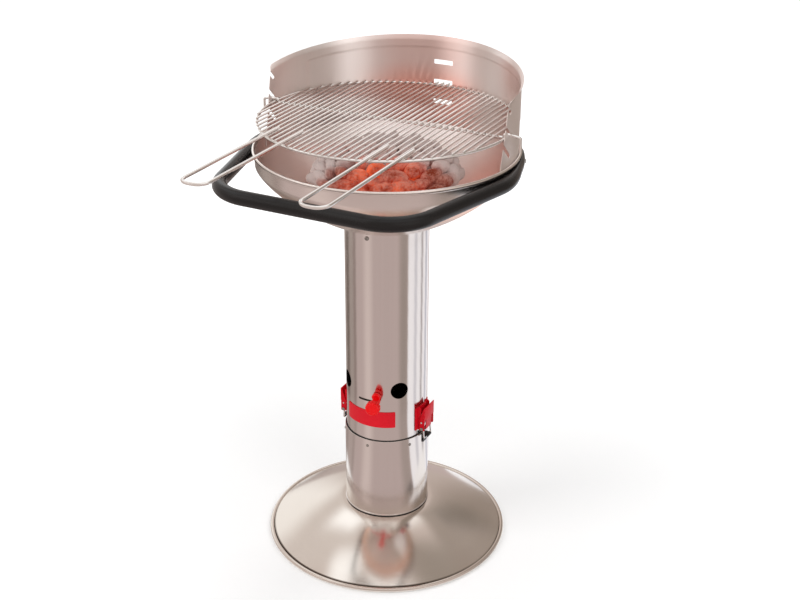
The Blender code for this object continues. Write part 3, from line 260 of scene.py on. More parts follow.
def paintedFireGlow(steel, tone, x, y, z, radius):
    # painted reflection of the glowing heap on the windshield's inner side: a warm tone over its back, and a
    # red glow lower down
    v = tintValues
    angle = x.maths("ARCTAN2", x, y) - v["glowMiddle"]
    wide = 1 - steel.step(angle.size(), *v["glowHalf"])
    patch = steel.cloud(steel.joined(x, y, z), 9.0, 2.0)
    low = 1 - steel.step(z + (patch - 0.5) * 0.03, *v["glowHeight"])
    tone = steel.blend(wide * v["warmShare"], tone, v["warm"])
    return steel.blend(wide * low * v["glowShare"], tone, v["glow"])


def wireSteel(name, colour, rough):
    steel = Finish(name, Metallic=1.0, Base_Color=colour, Roughness=rough)
    point = steel.point()
    speckle = steel.cloud(point, 900.0, 2.0)
    patch = steel.cloud(point, 30.0, 4.0, 0.6)
    dark = tuple(c * 0.80 for c in colour)
    steel.feed("Base Color", steel.blend(patch * 0.7 + speckle * 0.2, dark, colour))
    steel.feed("Roughness", (patch - 0.5) * 0.16 + rough + (speckle - 0.5) * 0.06)
    steel.bump(speckle, 0.00004)
    return steel


def coatedFinish(name, colour, rough, grain, relief, spread, gloss):
    # paint, moulded plastic or rubber, with a fine skin and a little wear
    paint = Finish(name, Base_Color=colour, Roughness=rough, Specular_IOR_Level=gloss)
    point = paint.point()
    skin = paint.cloud(point, grain, 2.0)
    patch = paint.cloud(point, 25.0, 4.0, 0.6)
    dark = tuple(c * (1 - spread) for c in colour)
    light = tuple(min(c * (1 + spread) + 0.001, 1.0) for c in colour)
    paint.feed("Base Color", paint.blend(patch * 0.8 + skin * 0.2, dark, light))
    paint.feed("Roughness", (patch - 0.5) * 0.12 + rough + (skin - 0.5) * 0.05)
    paint.bump(skin, relief)
    return paint


emberValues = {
    "dark": (0.26, 0.040, 0.018), "light": (0.58, 0.27, 0.21), "burnt": (0.74, 0.65, 0.62),
    "cooled": (0.03, 0.003, 0.001), "behind": (-0.459, 0.889), "burntFrom": (-0.085, -0.045),
    "burntShare": 0.88,
    "core": (0.030, -0.080), "coreReach": (0.045, 0.135), "coreHeat": (0.16, -0.03),
    "heat": [(0.44, (0.014, 0.0016, 0.0)), (0.58, (0.18, 0.010, 0.003)), (0.76, (0.90, 0.11, 0.016))],
}


def emberFinish():
    # dark red lumps with a pink-grey skin of ash, which glow in the front of the heap and in the gaps
    v = emberValues
    ember = Finish("glowing charcoal", Roughness=0.85, Emission_Strength=1.0, Specular_IOR_Level=0.15)
    point = ember.point()
    x, y, z = ember.parts(point)
    heat = ember.cloud(point, 16.0, 2.0, 0.5)
    patch = ember.cloud(point, 60.0, 4.0, 0.6)
    ash = ember.cloud(point, 260.0, 4.0, 0.65)
    inputs = {"Vector": point, "Scale": 120.0}
    crack = ember.node("ShaderNodeTexVoronoi", {"feature": "DISTANCE_TO_EDGE"}, inputs)
    ashMask = ember.ramp(ash * 0.45 + patch * 0.55, [(0.40, 0.0), (0.62, 1.0)])
    # behind the open side the heap has burnt to pale ash
    behind = x * v["behind"][0] + y * v["behind"][1] + (patch - 0.5) * 0.03
    burnt = ember.step(behind, *v["burntFrom"], 0.0, v["burntShare"])
    ember.feed("Base Color", ember.blend(burnt, ember.blend(ashMask, v["dark"], v["light"]), v["burnt"]))
    offX, offY = x - v["core"][0], y - v["core"][1]
    core = ember.step((offX * offX + offY * offY) ** 0.5, *v["coreReach"], *v["coreHeat"])
    hot = ember.ramp(heat * 0.55 + patch * 0.45 - ash * 0.10 + core, v["heat"])
    glow = ember.blend(ashMask * 0.7, hot, v["cooled"])
    ember.feed("Emission Color", ember.blend(burnt, glow, (0.0, 0.0, 0.0)))
    ember.bump(ash * 0.5 + patch * 0.7 + crack * 0.3, 0.0014)
    return ember


# name, colour, roughness, stretch of the gloss, brushed lines, spread of the tone, relief, tint: the heat
# tint, painted shade or painted reflection that the row puts on
steels = {
    "tube": ("brushed column steel", (0.76, 0.71, 0.68), 0.13, 0.6, "upright", 0.07, 0.000010),
    "base": ("polished base steel", (0.80, 0.75, 0.70), 0.15, 0.2, "round", 0.05, 0.000004, rimShade),
    "bowl": ("spun bowl steel", (0.82, 0.76, 0.72), 0.24, 0.6, "round", 0.06, 0.000006, firedUnderside),
    # the same steel as the bowl's outside, painted lighter and pinker: painted light and reflection on the
    # inner side
    "bowlInside": ("bowl's inner steel", (0.97, 0.87, 0.84), 0.30, 0.6, "round", 0.07, 0.000006),
    "shield": ("brushed windshield steel", (0.88, 0.80, 0.77), 0.36, 1.0, "upright", 0.05, 0.000008),
    # the inner side carries the painted reflection of the fire's glow
    "shieldInside": (
        "windshield's inner steel", (0.90, 0.82, 0.79), 0.36, 1.0, "upright", 0.05, 0.000008, paintedFireGlow,
    ),
    "inner": ("plain inner steel", (0.50, 0.48, 0.46), 0.38, 0.3, "round", 0.15, 0.00002),
    # near black: painted shade on the inner pieces that lie in the dark
    "soot": ("sooted inner steel", (0.06, 0.055, 0.05), 0.50, 0.0, "round", 0.30, 0.00002),
}
# name, colour, roughness
wires = {
    "wire": ("bright wire", (0.92, 0.90, 0.88), 0.14),
    "gridWire": ("fired grid wire", (0.42, 0.37, 0.34), 0.45),
    "fastener": ("fastener steel", (0.40, 0.38, 0.36), 0.30),
}
# name, colour, roughness, grain, relief, spread of the tone, gloss
coats = {
    "rubber": ("black rubber", (0.022, 0.021, 0.021), 0.55, 700.0, 0.00006, 0.12, 0.5),
    "handle": ("black handle coat", (0.008, 0.007, 0.007), 0.26, 900.0, 0.00003, 0.12, 0.28),
    "catch": ("black catch coat", (0.010, 0.010, 0.010), 0.40, 900.0, 0.00004, 0.12, 0.25),
    "latch": ("red latch paint", (0.64, 0.004, 0.014), 0.32, 800.0, 0.00003, 0.12, 0.09),
    "knob": ("red knob plastic", (0.84, 0.003, 0.005), 0.28, 1100.0, 0.00003, 0.12, 0.20),
    "label": ("red label enamel", (0.72, 0.006, 0.018), 0.40, 1300.0, 0.00002, 0.06, 0.16),
}
finishes = {}
for make, table in ((brushedSteel, steels), (wireSteel, wires), (coatedFinish, coats)):
    for key, values in table.items():
        finishes[key] = make(*values)
finishes["ember"] = emberFinish()
print("stage: finishes")


# Making pieces
def mode(name):
    bpy.ops.object.mode_set(mode=name)


def deselect():
    if bpy.context.object and bpy.context.object.mode != "OBJECT":
        mode("OBJECT")
    bpy.ops.object.select_all(action="DESELECT")


def pick(piece):
    deselect()
    piece.select_set(True)
    bpy.context.view_layer.objects.active = piece


def added(name):
    # the primitive that was just added
    piece = bpy.context.object
    piece.name = name
    return piece


def startEdit(name):
    # the primitive that was just added, ready to be shaped
    piece = added(name)
    mode("EDIT")
    bpy.ops.mesh.select_all(action="SELECT")
    return piece


def settle(piece):
    pick(piece)
    bpy.ops.object.transform_apply(location=True, rotation=True, scale=True)


def closeShape(weld=0.000002):
    bpy.ops.mesh.select_all(action="SELECT")
    bpy.ops.mesh.remove_doubles(threshold=weld)
    bpy.ops.mesh.normals_make_consistent(inside=False)
    mode("OBJECT")
    bpy.ops.object.transform_apply(location=True, rotation=True, scale=True)


def applied(piece, kind, **settings):
    pick(piece)
    modifier = piece.modifiers.new(kind.lower(), kind)
    for key, value in settings.items():
        setattr(modifier, key, value)
    bpy.ops.object.modifier_apply(modifier=modifier.name)


def cut(piece, tool):
    applied(piece, "BOOLEAN", operation="DIFFERENCE", object=tool, solver="EXACT")
    bpy.data.objects.remove(tool, do_unlink=True)


def thickened(sheet, thickness, offset):
    applied(sheet, "SOLIDIFY", thickness=thickness, offset=offset, use_even_offset=True)
    pick(sheet)
    mode("EDIT")
    closeShape()


def joinAll(name, members):
    deselect()
    for member in members:
        member.select_set(True)
    bpy.context.view_layer.objects.active = members[0]
    if len(members) > 1:
        bpy.ops.object.join()
    members[0].name = name
    return members[0]


def copyOf(piece, name=None):
    pick(piece)
    bpy.ops.object.duplicate()
    if name:
        bpy.context.object.name = name
    return bpy.context.object


def deleteFaces(piece, unwanted):
    # stays in edit mode
    pick(piece)
    mode("EDIT")
    bpy.ops.mesh.select_all(action="DESELECT")
    mode("OBJECT")
    for face in piece.data.polygons:
        face.select = unwanted(face)
    mode("EDIT")
    bpy.ops.mesh.delete(type="FACE")


def done(piece, finish, body, slot, *nodes, sharp=32):
    settle(piece)
    bpy.ops.object.shade_smooth_by_angle(angle=math.radians(sharp))
    piece.data.materials.clear()
    piece.data.materials.append(finishes[finish].material)
    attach(piece, body)
    if nodes:
        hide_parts(*nodes)
    return piece


def outward(angle):
    # away from the axis, at degrees from the front towards +X
    turn = math.radians(angle)
    return Vector((math.sin(turn), -math.cos(turn), 0))


def facing(way):
    return way.to_track_quat("Z", "Y").to_euler()


def facesAxis(face):
    return Vector((face.center.x, face.center.y - axisY, 0)).dot(face.normal) < 0


def smooth(value, low, high):
    share = min(max((value - low) / (high - low), 0.0), 1.0)
    return share * share * (3 - 2 * share)


def startDisc(name, sides, radius, centre, way):
    # a flat round end, ready to be drawn out along a way
    deselect()
    bpy.ops.mesh.primitive_circle_add(
        vertices=sides, radius=radius, fill_type="NGON", location=centre, rotation=facing(way),
    )
    return startEdit(name)


def rod(sides, radius, length, centre, rotation):
    deselect()
    bpy.ops.mesh.primitive_cylinder_add(
        vertices=sides, radius=radius, depth=length, location=centre, rotation=rotation,
    )
    return bpy.context.object


def extrude(move):
    bpy.ops.mesh.extrude_region_move(TRANSFORM_OT_translate={"value": move})


def drawOut(centre, way, at, size, steps):
    # the edited end goes along a way from the centre, to each place and each size
    for place, new in steps:
        extrude(way * (place - at))
        if abs(new - size) > 1e-7:
            bpy.ops.transform.resize(value=(new / size,) * 3, center_override=centre + way * place)
        at, size = place, new


def turned(name, profile, segments=144):
    # a ring is extruded along the profile of (radius, height) and closes on itself
    deselect()
    radius, height = profile[0]
    bpy.ops.mesh.primitive_circle_add(vertices=segments, radius=radius, location=(0, axisY, height))
    piece = startEdit(name)
    drawOut(Vector((0, axisY, 0)), upwards, height, radius, [(z, r) for r, z in profile[1:] + profile[:1]])
    closeShape()
    return piece


def arcPoints(centre, radius, first, last, steps, tall=1.0):
    turns = [math.radians(first + (last - first) * i / steps) for i in range(steps + 1)]
    return [(centre[0] + radius * math.cos(t), centre[1] + radius * tall * math.sin(t)) for t in turns]


def bentWire(name, corners, bends, thick, sides, steps):
    # a round end is extruded along straight runs and spun round each bend
    corners = [Vector(c) for c in corners]
    ways = [(b - a).normalized() for a, b in zip(corners, corners[1:])]
    piece = startDisc(name, sides, thick, corners[0], ways[0])
    at = corners[0]
    for corner, bend, before, after in zip(corners[1:], bends, ways, ways[1:]):
        angle = before.angle(after)
        back = bend * math.tan(angle / 2)
        side = (after - before * before.dot(after)).normalized()
        start = corner - before * back
        extrude(start - at)
        axis = before.cross(after).normalized()
        bpy.ops.mesh.spin(steps=steps, angle=-angle, center=start + side * bend, axis=axis)
        at = corner + after * back
    extrude(corners[-1] - at)
    closeShape()
    return piece


def roundHead(name, angle, face, height, radius, tall, recess=True):
    # a domed head that stands on a wall facing outwards at an angle from the front
    out = outward(angle)
    centre = Vector((0, axisY, height)) + out * face
    piece = startDisc(name, 32, radius, centre, out)
    shares = (0.15, 0.35, 0.55, 0.75, 0.9, 1.0)
    drawOut(centre, out, 0.0, 1.0, [(tall * share, math.sqrt(1 - (share * 0.86) ** 2)) for share in shares])
    closeShape()
    if recess:
        for width, length in ((0.24, 1.1), (1.1, 0.24)):
            bpy.ops.mesh.primitive_cube_add(size=1, location=centre + out * tall, rotation=facing(out))
            blade = bpy.context.object
            blade.scale = (radius * width, radius * length, tall * 0.9)
            settle(blade)
            cut(piece, blade)
    return piece


# Base dish and foot
baseValues = {
    "radius": 0.2367, "roll": 0.0045, "flat": 0.0880, "hub": 0.0400, "top": 0.0670, "sheet": 0.0012,
    "bore": 0.0043, "steps": 40, "swell": 1.25, "rollAngles": (168, -150), "lift": 0.0010,
}


def makeBase():
    v = baseValues
    edge = v["radius"] - 2 * v["roll"]
    start = 2 * v["roll"] - v["lift"]
    dome = []
    for i in range(v["steps"] + 1):
        share = i / v["steps"]
        radius = v["flat"] + (edge - v["flat"]) * share
        dome.append((radius, start + (v["top"] - start) * (1 - share ** v["swell"])))
    roll = arcPoints((v["radius"] - v["roll"], v["roll"]), v["roll"], *v["rollAngles"], 20)
    inside = [(r - v["sheet"] * 0.4, z - v["sheet"]) for r, z in reversed(dome)]
    under = v["top"] - v["sheet"]
    profile = [
        (v["bore"], v["top"]), (v["hub"], v["top"]), *dome, *roll, *inside,
        (v["hub"], under), (v["bore"], under),
    ]
    done(turned("base.dish", profile, 192), "base", "stand", "polished_steel", "base_dish")
    ring = [
        (0.0764, 0.0675), (0.0820, 0.0675), (0.0822, 0.0677), (0.0822, 0.0681),
        (0.0820, 0.0683), (0.0812, 0.0697), (0.0764, 0.0697),
    ]
    done(turned("foot.ring", ring), "rubber", "stand", "black_rubber", "foot_ring")


makeBase()
print("stage: base")


# Column
columnValues = {
    "lowerRadius": 0.0815, "upperRadius": 0.0784, "sheet": 0.0010, "foot": 0.0700, "seam": 0.2369,
    "lip": 0.0004, "upperFoot": 0.2280, "upperTop": 0.6647, "rings": (0.372, 0.318), "gap": 0.0003,
    "holeRadius": 0.0170, "holeHeight": 0.3455, "holeAngles": (45, 135, 225, 315),
    "slotHeight": 0.3225, "slotHalfAngle": 15.4, "slotGap": 0.0044, "bead": 0.0012,
    "toolLength": 0.05, "holeToolOut": 0.075, "slotToolOut": 0.08,
}


def makeLowerTube():
    v = columnValues
    outer, inner = v["lowerRadius"], v["lowerRadius"] - v["sheet"]
    bead = arcPoints((outer + 0.0001, v["foot"] + 0.0001), v["bead"], 80, -60, 8)
    profile = [
        (outer, v["seam"] - v["lip"]), (outer, v["foot"] + 0.0016),
        *bead, (outer - 0.0002, v["foot"] - 0.0006),
        (inner, v["foot"]), (inner, v["seam"]), (outer - v["lip"], v["seam"]),
    ]
    done(turned("lower.tube", profile, 192), "tube", "stand", "steel", "lower_tube")

    top = v["seam"] + v["gap"]
    profile = [
        (0.0800, top + 0.0004), (0.0804, top + 0.0002), (0.0803, top - 0.0002), (0.0802, top - 0.0070),
        (0.0787, top - 0.0070), (0.0787, top + 0.0003), (0.0789, top + 0.0004),
    ]
    done(turned("seam.seal", profile, 192), "rubber", "stand", "black_rubber", "joint_seal")


def makeUpperTube():
    v = columnValues
    outer, inner = v["upperRadius"], v["upperRadius"] - v["sheet"]
    heights = (v["upperTop"], *v["rings"], v["upperFoot"])
    tube = turned("upper.tube", [(outer, z) for z in heights] + [(inner, z) for z in reversed(heights)], 192)
    for angle in v["holeAngles"]:
        out = outward(angle)
        middle = Vector((0, axisY, v["holeHeight"])) + out * v["holeToolOut"]
        cut(tube, rod(64, v["holeRadius"], v["toolLength"], middle, facing(out)))
    # the slot's tool is a round bar drawn out sideways
    half = outer * math.sin(math.radians(v["slotHalfAngle"])) - v["slotGap"] / 2
    place = (0, axisY - v["slotToolOut"], v["slotHeight"])
    slot = rod(32, v["slotGap"] / 2, v["toolLength"], place, (math.radians(90), 0, 0))
    for vert in slot.data.vertices:
        vert.co.x += half if vert.co.x > 0 else -half
    settle(slot)
    cut(tube, slot)
    done(tube, "tube", "stand", "steel", "upper_tube")


# radius of the head, how far it stands out, place of its foot from the axis
screwValues = {
    "rivet": (0.0028, 0.0014, 0.0818),
    "bowlScrew": (0.0042, 0.0024, 0.0787),
    "handleScrew": (0.0042, 0.0018, 0.2468),
    "bowlScrewHeight": 0.6540, "handleScrewHeight": 0.7850, "handleScrewAngle": 111,
}


def makeRivets():
    v = screwValues
    low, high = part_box("ledge_rivet_1")
    middle = (low.z + high.z) / 2
    rows = [(f"ledge.rivet.{i + 1}", 60 * i, middle, "rivet") for i in range(6)]
    rows += [(f"bowl.screw.{i + 1}", 120 * i, v["bowlScrewHeight"], "bowlScrew") for i in range(3)]
    for side, sign in (("left", -1), ("right", 1)):
        angle = sign * v["handleScrewAngle"]
        rows.append((f"handle.screw.{side}", angle, v["handleScrewHeight"], "handleScrew"))
    for name, angle, height, kind in rows:
        radius, tall, face = v[kind]
        head = roundHead(name, angle, face, height, radius, tall, recess=kind != "rivet")
        done(head, "fastener", "stand", "steel", name.replace(".", "_"))


makeLowerTube()
makeUpperTube()
makeRivets()
print("stage: column")


# Air valve knob and label
knobValues = {
    "angle": 13.4, "height": 0.3265, "radius": 0.0140, "front": 0.1169, "depth": 0.0140, "flutes": 12,
    "groove": 0.0013, "grooveFrom": 0.70, "gripEnd": 0.84, "tabEnd": 0.86, "stemSlim": 0.45,
    "tabTop": 0.3435, "tabWidth": 0.0168, "tabBack": 0.0012, "slot": 0.3225, "shank": 0.0080, "neck": 0.0019,
}


def makeGrip(middle, out, across, start):
    v = knobValues
    grip = startDisc("valve.grip", v["flutes"] * 10, v["radius"] * v["gripEnd"], middle + out * start, out)
    steps = (
        (0.05, 0.93), (0.14, 0.99), (0.22, 1.0), (0.72, 1.0), (0.84, 0.985), (0.93, 0.93),
        (0.98, 0.86), (1.0, 0.79), (1.0, 0.62), (0.965, 0.58), (0.965, 0.02),
    )
    drawOut(middle, out, start, v["gripEnd"], [(start + v["depth"] * share, size) for share, size in steps])
    closeShape()
    for vert in grip.data.vertices:
        off = vert.co - middle
        flat = off - out * off.dot(out)
        deep = flat.length / v["radius"] - v["grooveFrom"]
        if deep > 0:
            around = math.atan2(flat.z, flat.dot(across))
            groove = max(math.cos(around * v["flutes"]), 0.0) ** 1.5
            vert.co -= flat.normalized() * v["groove"] * groove * min(deep / 0.25, 1.0)
    return grip


def makeTab(middle, out, across, back):
    v = knobValues
    half = v["tabWidth"] / 2
    tab = startDisc("valve.tab", 48, half * v["tabEnd"], middle + out * back, out)
    steps = ((0.0006, 0.95), (0.0014, 1.0), (0.0066, 1.0), (0.0078, 0.95), (0.0085, 0.84))
    drawOut(middle, out, back, v["tabEnd"], [(back + move, size) for move, size in steps])
    closeShape()
    upper = v["tabTop"] - half - v["height"]
    lower = v["slot"] - v["height"]
    for vert in tab.data.vertices:
        rise = vert.co.z - v["height"]
        vert.co.z += upper if rise > 0 else lower
        if rise < 0:  # the stem below the lobe is slimmer and lies further back
            off = vert.co - middle
            deep = off.dot(out) - back
            vert.co -= (across * off.dot(across) + out * deep) * v["stemSlim"]
    return tab


def makeKnob():
    v = knobValues
    out = outward(v["angle"])
    across = outward(v["angle"] + 90)
    middle = Vector((0, axisY, v["height"]))
    start = v["front"] - v["depth"]
    back = columnValues["upperRadius"] + v["tabBack"]
    members = [makeGrip(middle, out, across, start), makeTab(middle, out, across, back)]
    slot = Vector((0, axisY, v["slot"]))
    bars = (
        (middle, back + 0.0040, start + 0.002, v["shank"], 48),
        (slot, columnValues["upperRadius"] - 0.0010, back + 0.002, v["neck"], 32),
    )
    for centre, first, last, radius, sides in bars:
        members.append(rod(sides, radius, last - first, centre + out * (first + last) / 2, facing(out)))
        settle(members[-1])
    done(joinAll("valve.knob", members), "knob", "air_valve", "red_plastic", "valve_knob", sharp=40)


labelValues = {
    "radius": 0.0787, "sheet": 0.0007, "height": 0.2839, "tall": 0.0334, "halfAngle": 39.0, "corner": 0.0016,
}


def makeLabel():
    # plain red, with no words on it
    v = labelValues
    deselect()
    bpy.ops.mesh.primitive_grid_add(x_subdivisions=72, y_subdivisions=24, size=1)
    label = added("label.plate")
    width = 2 * math.radians(v["halfAngle"]) * v["radius"]
    for vert in label.data.vertices:
        s = vert.co.x * width
        t = vert.co.y * v["tall"]
        sx = width / 2 - abs(s)
        tz = v["tall"] / 2 - abs(t)
        if sx < v["corner"] and tz < v["corner"]:
            inset = Vector((v["corner"] - sx, v["corner"] - tz))
            if inset.length > v["corner"]:
                inset = inset.normalized() * v["corner"]
            s = math.copysign(width / 2 - v["corner"] + inset.x, s)
            t = math.copysign(v["tall"] / 2 - v["corner"] + inset.y, t)
        angle = s / v["radius"]
        place = (math.sin(angle) * v["radius"], axisY - math.cos(angle) * v["radius"], v["height"] + t)
        vert.co = Vector(place)
    thickened(label, v["sheet"], 1.0)
    done(label, "label", "stand", "red_paint", "label_plate")


makeKnob()
makeLabel()
print("stage: knob and label")


# Draw latches: the CAD shapes with their edges rounded, and new wire bails
latchValues = {
    "edge": 0.00045, "plateEdge": 0.7, "pivot": (0.0853, 0.2655), "bar": (0.0881, 0.2294),
    "wire": 0.0016, "halfWidth": 0.0148, "end": 0.0214, "bends": (0.0020, 0.0030, 0.0030, 0.0020),
}


def roundedCopy(node, finish, body, slot, edge):
    piece = copyOf(frame["nodes"][node], node.replace("_", "."))
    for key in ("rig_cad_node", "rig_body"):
        if key in piece:
            del piece[key]
    piece.parent = None
    pick(piece)
    mode("EDIT")
    bpy.ops.mesh.select_all(action="SELECT")
    bpy.ops.mesh.remove_doubles(threshold=0.000005)
    bpy.ops.mesh.dissolve_limited(angle_limit=math.radians(1.5))
    mode("OBJECT")
    bluntEdges = {"limit_method": "ANGLE", "angle_limit": math.radians(40), "use_clamp_overlap": True}
    applied(piece, "BEVEL", width=edge, segments=3, **bluntEdges)
    return done(piece, finish, body, slot, node, sharp=50)


def makeLatches():
    v = latchValues
    (pivotOut, pivotHeight), (barOut, barHeight) = v["pivot"], v["bar"]
    for side, sign in (("left", -1), ("right", 1)):
        roundedCopy(f"latch_base_{side}", "latch", "stand", "red_paint", v["edge"] * v["plateEdge"])
        roundedCopy(f"latch_lever_{side}", "latch", f"latch_{side}", "red_paint", v["edge"])
        roundedCopy(f"latch_catch_{side}", "catch", "stand", "black_enamel", v["edge"])
        half = [
            (pivotOut, v["end"], pivotHeight), (pivotOut, v["halfWidth"], pivotHeight),
            (barOut, v["halfWidth"], barHeight),
        ]
        corners = half + [(x, -y, z) for x, y, z in reversed(half)]
        corners = [(sign * x, axisY + sign * y, z) for x, y, z in corners]
        bail = bentWire(f"latch.bail.{side}", corners, v["bends"], v["wire"], 20, 6)
        done(bail, "wire", f"bail_{side}", "bright_wire", f"latch_bail_{side}")


makeLatches()
print("stage: latches")


# Bowl
bowlValues = {
    "radius": 0.2410, "band": 0.2362, "sheet": 0.0010, "rim": 0.8065, "rimTall": 0.0074, "crease": 0.7785,
    "bottom": 0.6650, "seat": 0.0800, "mouth": 0.0640, "level": 0.6, "gap": 0.0003,
}


def bowlOutside(steps=48):
    v = bowlValues
    points = []
    for i in range(steps + 1):
        share = (i / steps) ** 1.4
        radius = v["band"] + (v["seat"] - v["band"]) * share
        drop = 1 - (1 - share ** 0.8) ** 1.26
        points.append((radius, v["crease"] + (v["bottom"] - v["crease"]) * drop))
    return points


def bowlInside():
    v = bowlValues
    outside = bowlOutside()
    points = []
    for i, (radius, height) in enumerate(outside):
        before, after = outside[max(i - 1, 0)], outside[min(i + 1, len(outside) - 1)]
        run = Vector((after[0] - before[0], after[1] - before[1])).normalized()
        points.append((radius + run.y * v["sheet"], height - run.x * v["sheet"]))
    points[0] = (v["band"] - v["sheet"], v["crease"] + v["gap"])
    points[-1] = (v["seat"] - v["gap"], v["bottom"] + v["sheet"])
    return points


def makeBowl():
    v = bowlValues
    half = (v["radius"] - v["band"] + v["sheet"]) / 2
    bead = (v["radius"] - half, v["rim"] - v["rimTall"] / 2)
    under = v["rim"] - v["rimTall"]
    profile = [
        *arcPoints(bead, half, 165, -100, 18, v["rimTall"] / 2 / half),
        (v["band"] + 0.0003, under + 0.0003), (v["band"], under - 0.0005), *bowlOutside(),
        (v["mouth"], v["bottom"]), (v["mouth"], v["bottom"] + v["sheet"]), *reversed(bowlInside()),
        (v["band"] - v["sheet"], under),
    ]
    bowl = done(turned("bowl.shell", profile, 192), "bowl", "stand", "polished_steel", "bowl")
    # the inner side gets the steel that is painted lighter, as painted light
    bowl.data.materials.append(finishes["bowlInside"].material)
    for face in bowl.data.polygons:
        inside = facesAxis(face) or face.normal.z > v["level"]
        face.material_index = 1 if inside and face.center.z < under else 0


makeBowl()
print("stage: bowl")


# Handle round the bowl
railValues = {
    "radius": 0.0130, "height": 0.7850, "front": 0.2967, "corner": 0.0860, "splay": 14.5,
    "flat": 0.0050, "flatFrom": 78.0, "flatAt": 104.0, "end": 119.0, "endSize": 0.94, "gap": 0.0003,
}


def makeHalfRail(sign, hug):
    v = railValues
    splay = math.radians(v["splay"])
    turn = math.pi / 2 - splay
    sweep = math.radians(v["end"]) - turn
    bend = (hug - v["front"] * math.sin(splay)) / math.cos(splay)  # where the front bar would meet the side
    start = bend - v["corner"] * math.tan(turn / 2)
    middle = Vector((0, axisY, v["height"]))
    half = startDisc("rail", 40, v["radius"], (0, axisY - v["front"], v["height"]), Vector((sign, 0, 0)))
    for _ in range(4):
        extrude((sign * start / 4, 0, 0))
    corner = Vector((sign * start, axisY - v["front"] + v["corner"], v["height"]))
    bpy.ops.mesh.spin(steps=20, angle=-turn, center=corner, axis=(0, 0, sign))
    out = Vector((sign * math.sin(turn), -math.cos(turn), 0))
    for _ in range(3):
        extrude((middle + out * hug - corner - out * v["corner"]) / 3)
    bpy.ops.mesh.spin(steps=36, angle=-sweep, center=middle, axis=(0, 0, sign))
    end = middle + Vector((sign * math.sin(sweep + turn), -math.cos(sweep + turn), 0)) * hug
    bpy.ops.transform.resize(value=(v["endSize"],) * 3, center_override=end)
    closeShape()
    return half


def makeRail():
    v = railValues
    wall = bowlValues["band"] + v["gap"]
    halves = [makeHalfRail(sign, wall + v["radius"]) for sign in (1, -1)]
    # the ends are pressed flat against the bowl's band
    for vert in [vert for half in halves for vert in half.data.vertices]:
        off = Vector((vert.co.x, vert.co.y - axisY, 0))
        share = smooth(math.degrees(math.atan2(abs(off.x), -off.y)), v["flatFrom"], v["flatAt"])
        if share > 0:
            squeeze = 1 + (v["flat"] / v["radius"] - 1) * share
            place = off.normalized() * (wall + (off.length - wall) * squeeze)
            vert.co.x, vert.co.y = place.x, place.y + axisY
    rail = joinAll("handle.rail", halves)
    deleteFaces(rail, lambda face: abs(face.center.x) < 1e-5 and len(face.vertices) > 8)
    closeShape(0.00001)
    done(rail, "handle", "stand", "black_enamel", "handle_rail", sharp=50)


makeRail()
print("stage: handle")


# Charcoal grid and the glowing heap
gridValues = {"radius": 0.1450, "wire": 0.0025, "pitch": 0.0200, "count": 6}


def barGrid(name, ringRadius, ringWire, ringHeight, barWire, barHeight, bars, sides):
    # bars is a list of (x, front end, rear end), measured from the column's axis
    deselect()
    bpy.ops.mesh.primitive_torus_add(
        location=(0, axisY, ringHeight), major_segments=128, minor_segments=16,
        major_radius=ringRadius, minor_radius=ringWire,
    )
    members = [bpy.context.object]
    edge = 0.0004
    for x, front, rear in bars:
        deselect()
        start = Vector((x, axisY + front, barHeight))
        bpy.ops.mesh.primitive_circle_add(
            vertices=sides, radius=barWire * 0.8, fill_type="NGON",
            location=start, rotation=(math.radians(90), 0, 0),
        )
        bar = startEdit("bar")
        run = rear - front
        middles = [(run * share, 1.0) for share in (0.25, 0.5, 0.75)]
        steps = [(edge, 1.0), *middles, (run - edge, 1.0), (run, 0.8)]
        drawOut(start, Vector((0, 1, 0)), 0.0, 0.8, steps)
        closeShape()
        members.append(bar)
    return joinAll(name, members)


def makeCharcoalGrid():
    v = gridValues
    low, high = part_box("charcoal_grid")
    bars = []
    for i in range(-v["count"], v["count"] + 1):
        x = i * v["pitch"]
        reach = math.sqrt(v["radius"] ** 2 - x ** 2)
        bars.append((x, -reach, reach))
    ring, bar = low.z + v["wire"], high.z - v["wire"]
    grid = barGrid("charcoal.grid", v["radius"], v["wire"], ring, v["wire"], bar, bars, 12)
    done(grid, "gridWire", "stand", "steel", "charcoal_grid")


heapValues = {
    "radius": 0.1400, "top": 0.8120, "floor": 0.7151, "lumps": 150, "upper": 84, "shapes": 8, "keep": 0.32,
    "long": 0.0250, "thick": 0.0135, "seed": 11, "tries": 30000, "proud": 0.004, "bed": 0.90,
    "outline": (
        (0.0, 0.97), (0.25, 0.965), (0.5, 0.92), (0.72, 0.80), (0.88, 0.60), (0.97, 0.38), (1.0, 0.16),
    ),
}


def heapHeight(share):
    v = heapValues
    for (s0, h0), (s1, h1) in zip(v["outline"], v["outline"][1:]):
        if s0 <= share <= s1:
            return v["floor"] + (v["top"] - v["floor"]) * (h0 + (h1 - h0) * (share - s0) / (s1 - s0))
    return v["floor"]


def lumpShape(name, seed):
    # a ball is drawn out into a short rounded log, bent a little and roughened
    v = heapValues
    deselect()
    bpy.ops.mesh.primitive_ico_sphere_add(subdivisions=4, radius=1.0)
    lump = added(name)
    picker = random.Random(seed)
    length = v["long"] * picker.uniform(0.80, 1.10)
    thick = v["thick"] * picker.uniform(0.88, 1.12)
    flat = picker.uniform(0.78, 0.95)
    sway = picker.uniform(-0.16, 0.16)
    offset = Vector((seed * 3.7, seed * 1.3, seed * 2.1))
    for vert in lump.data.vertices:
        way = vert.co.normalized()
        run = math.copysign(abs(way.x) ** 0.80, way.x)
        swell = 1.0
        for amount, scale in ((0.14, 1.3), (0.07, 3.2), (0.025, 9.0)):
            swell += amount * noise.noise(way * scale + offset)
        side = thick * swell
        vert.co = Vector((
            run * length * (0.94 + 0.06 * swell),
            way.y * side * 1.05 + sway * length * run * run,
            way.z * side * flat,
        ))
    return lump


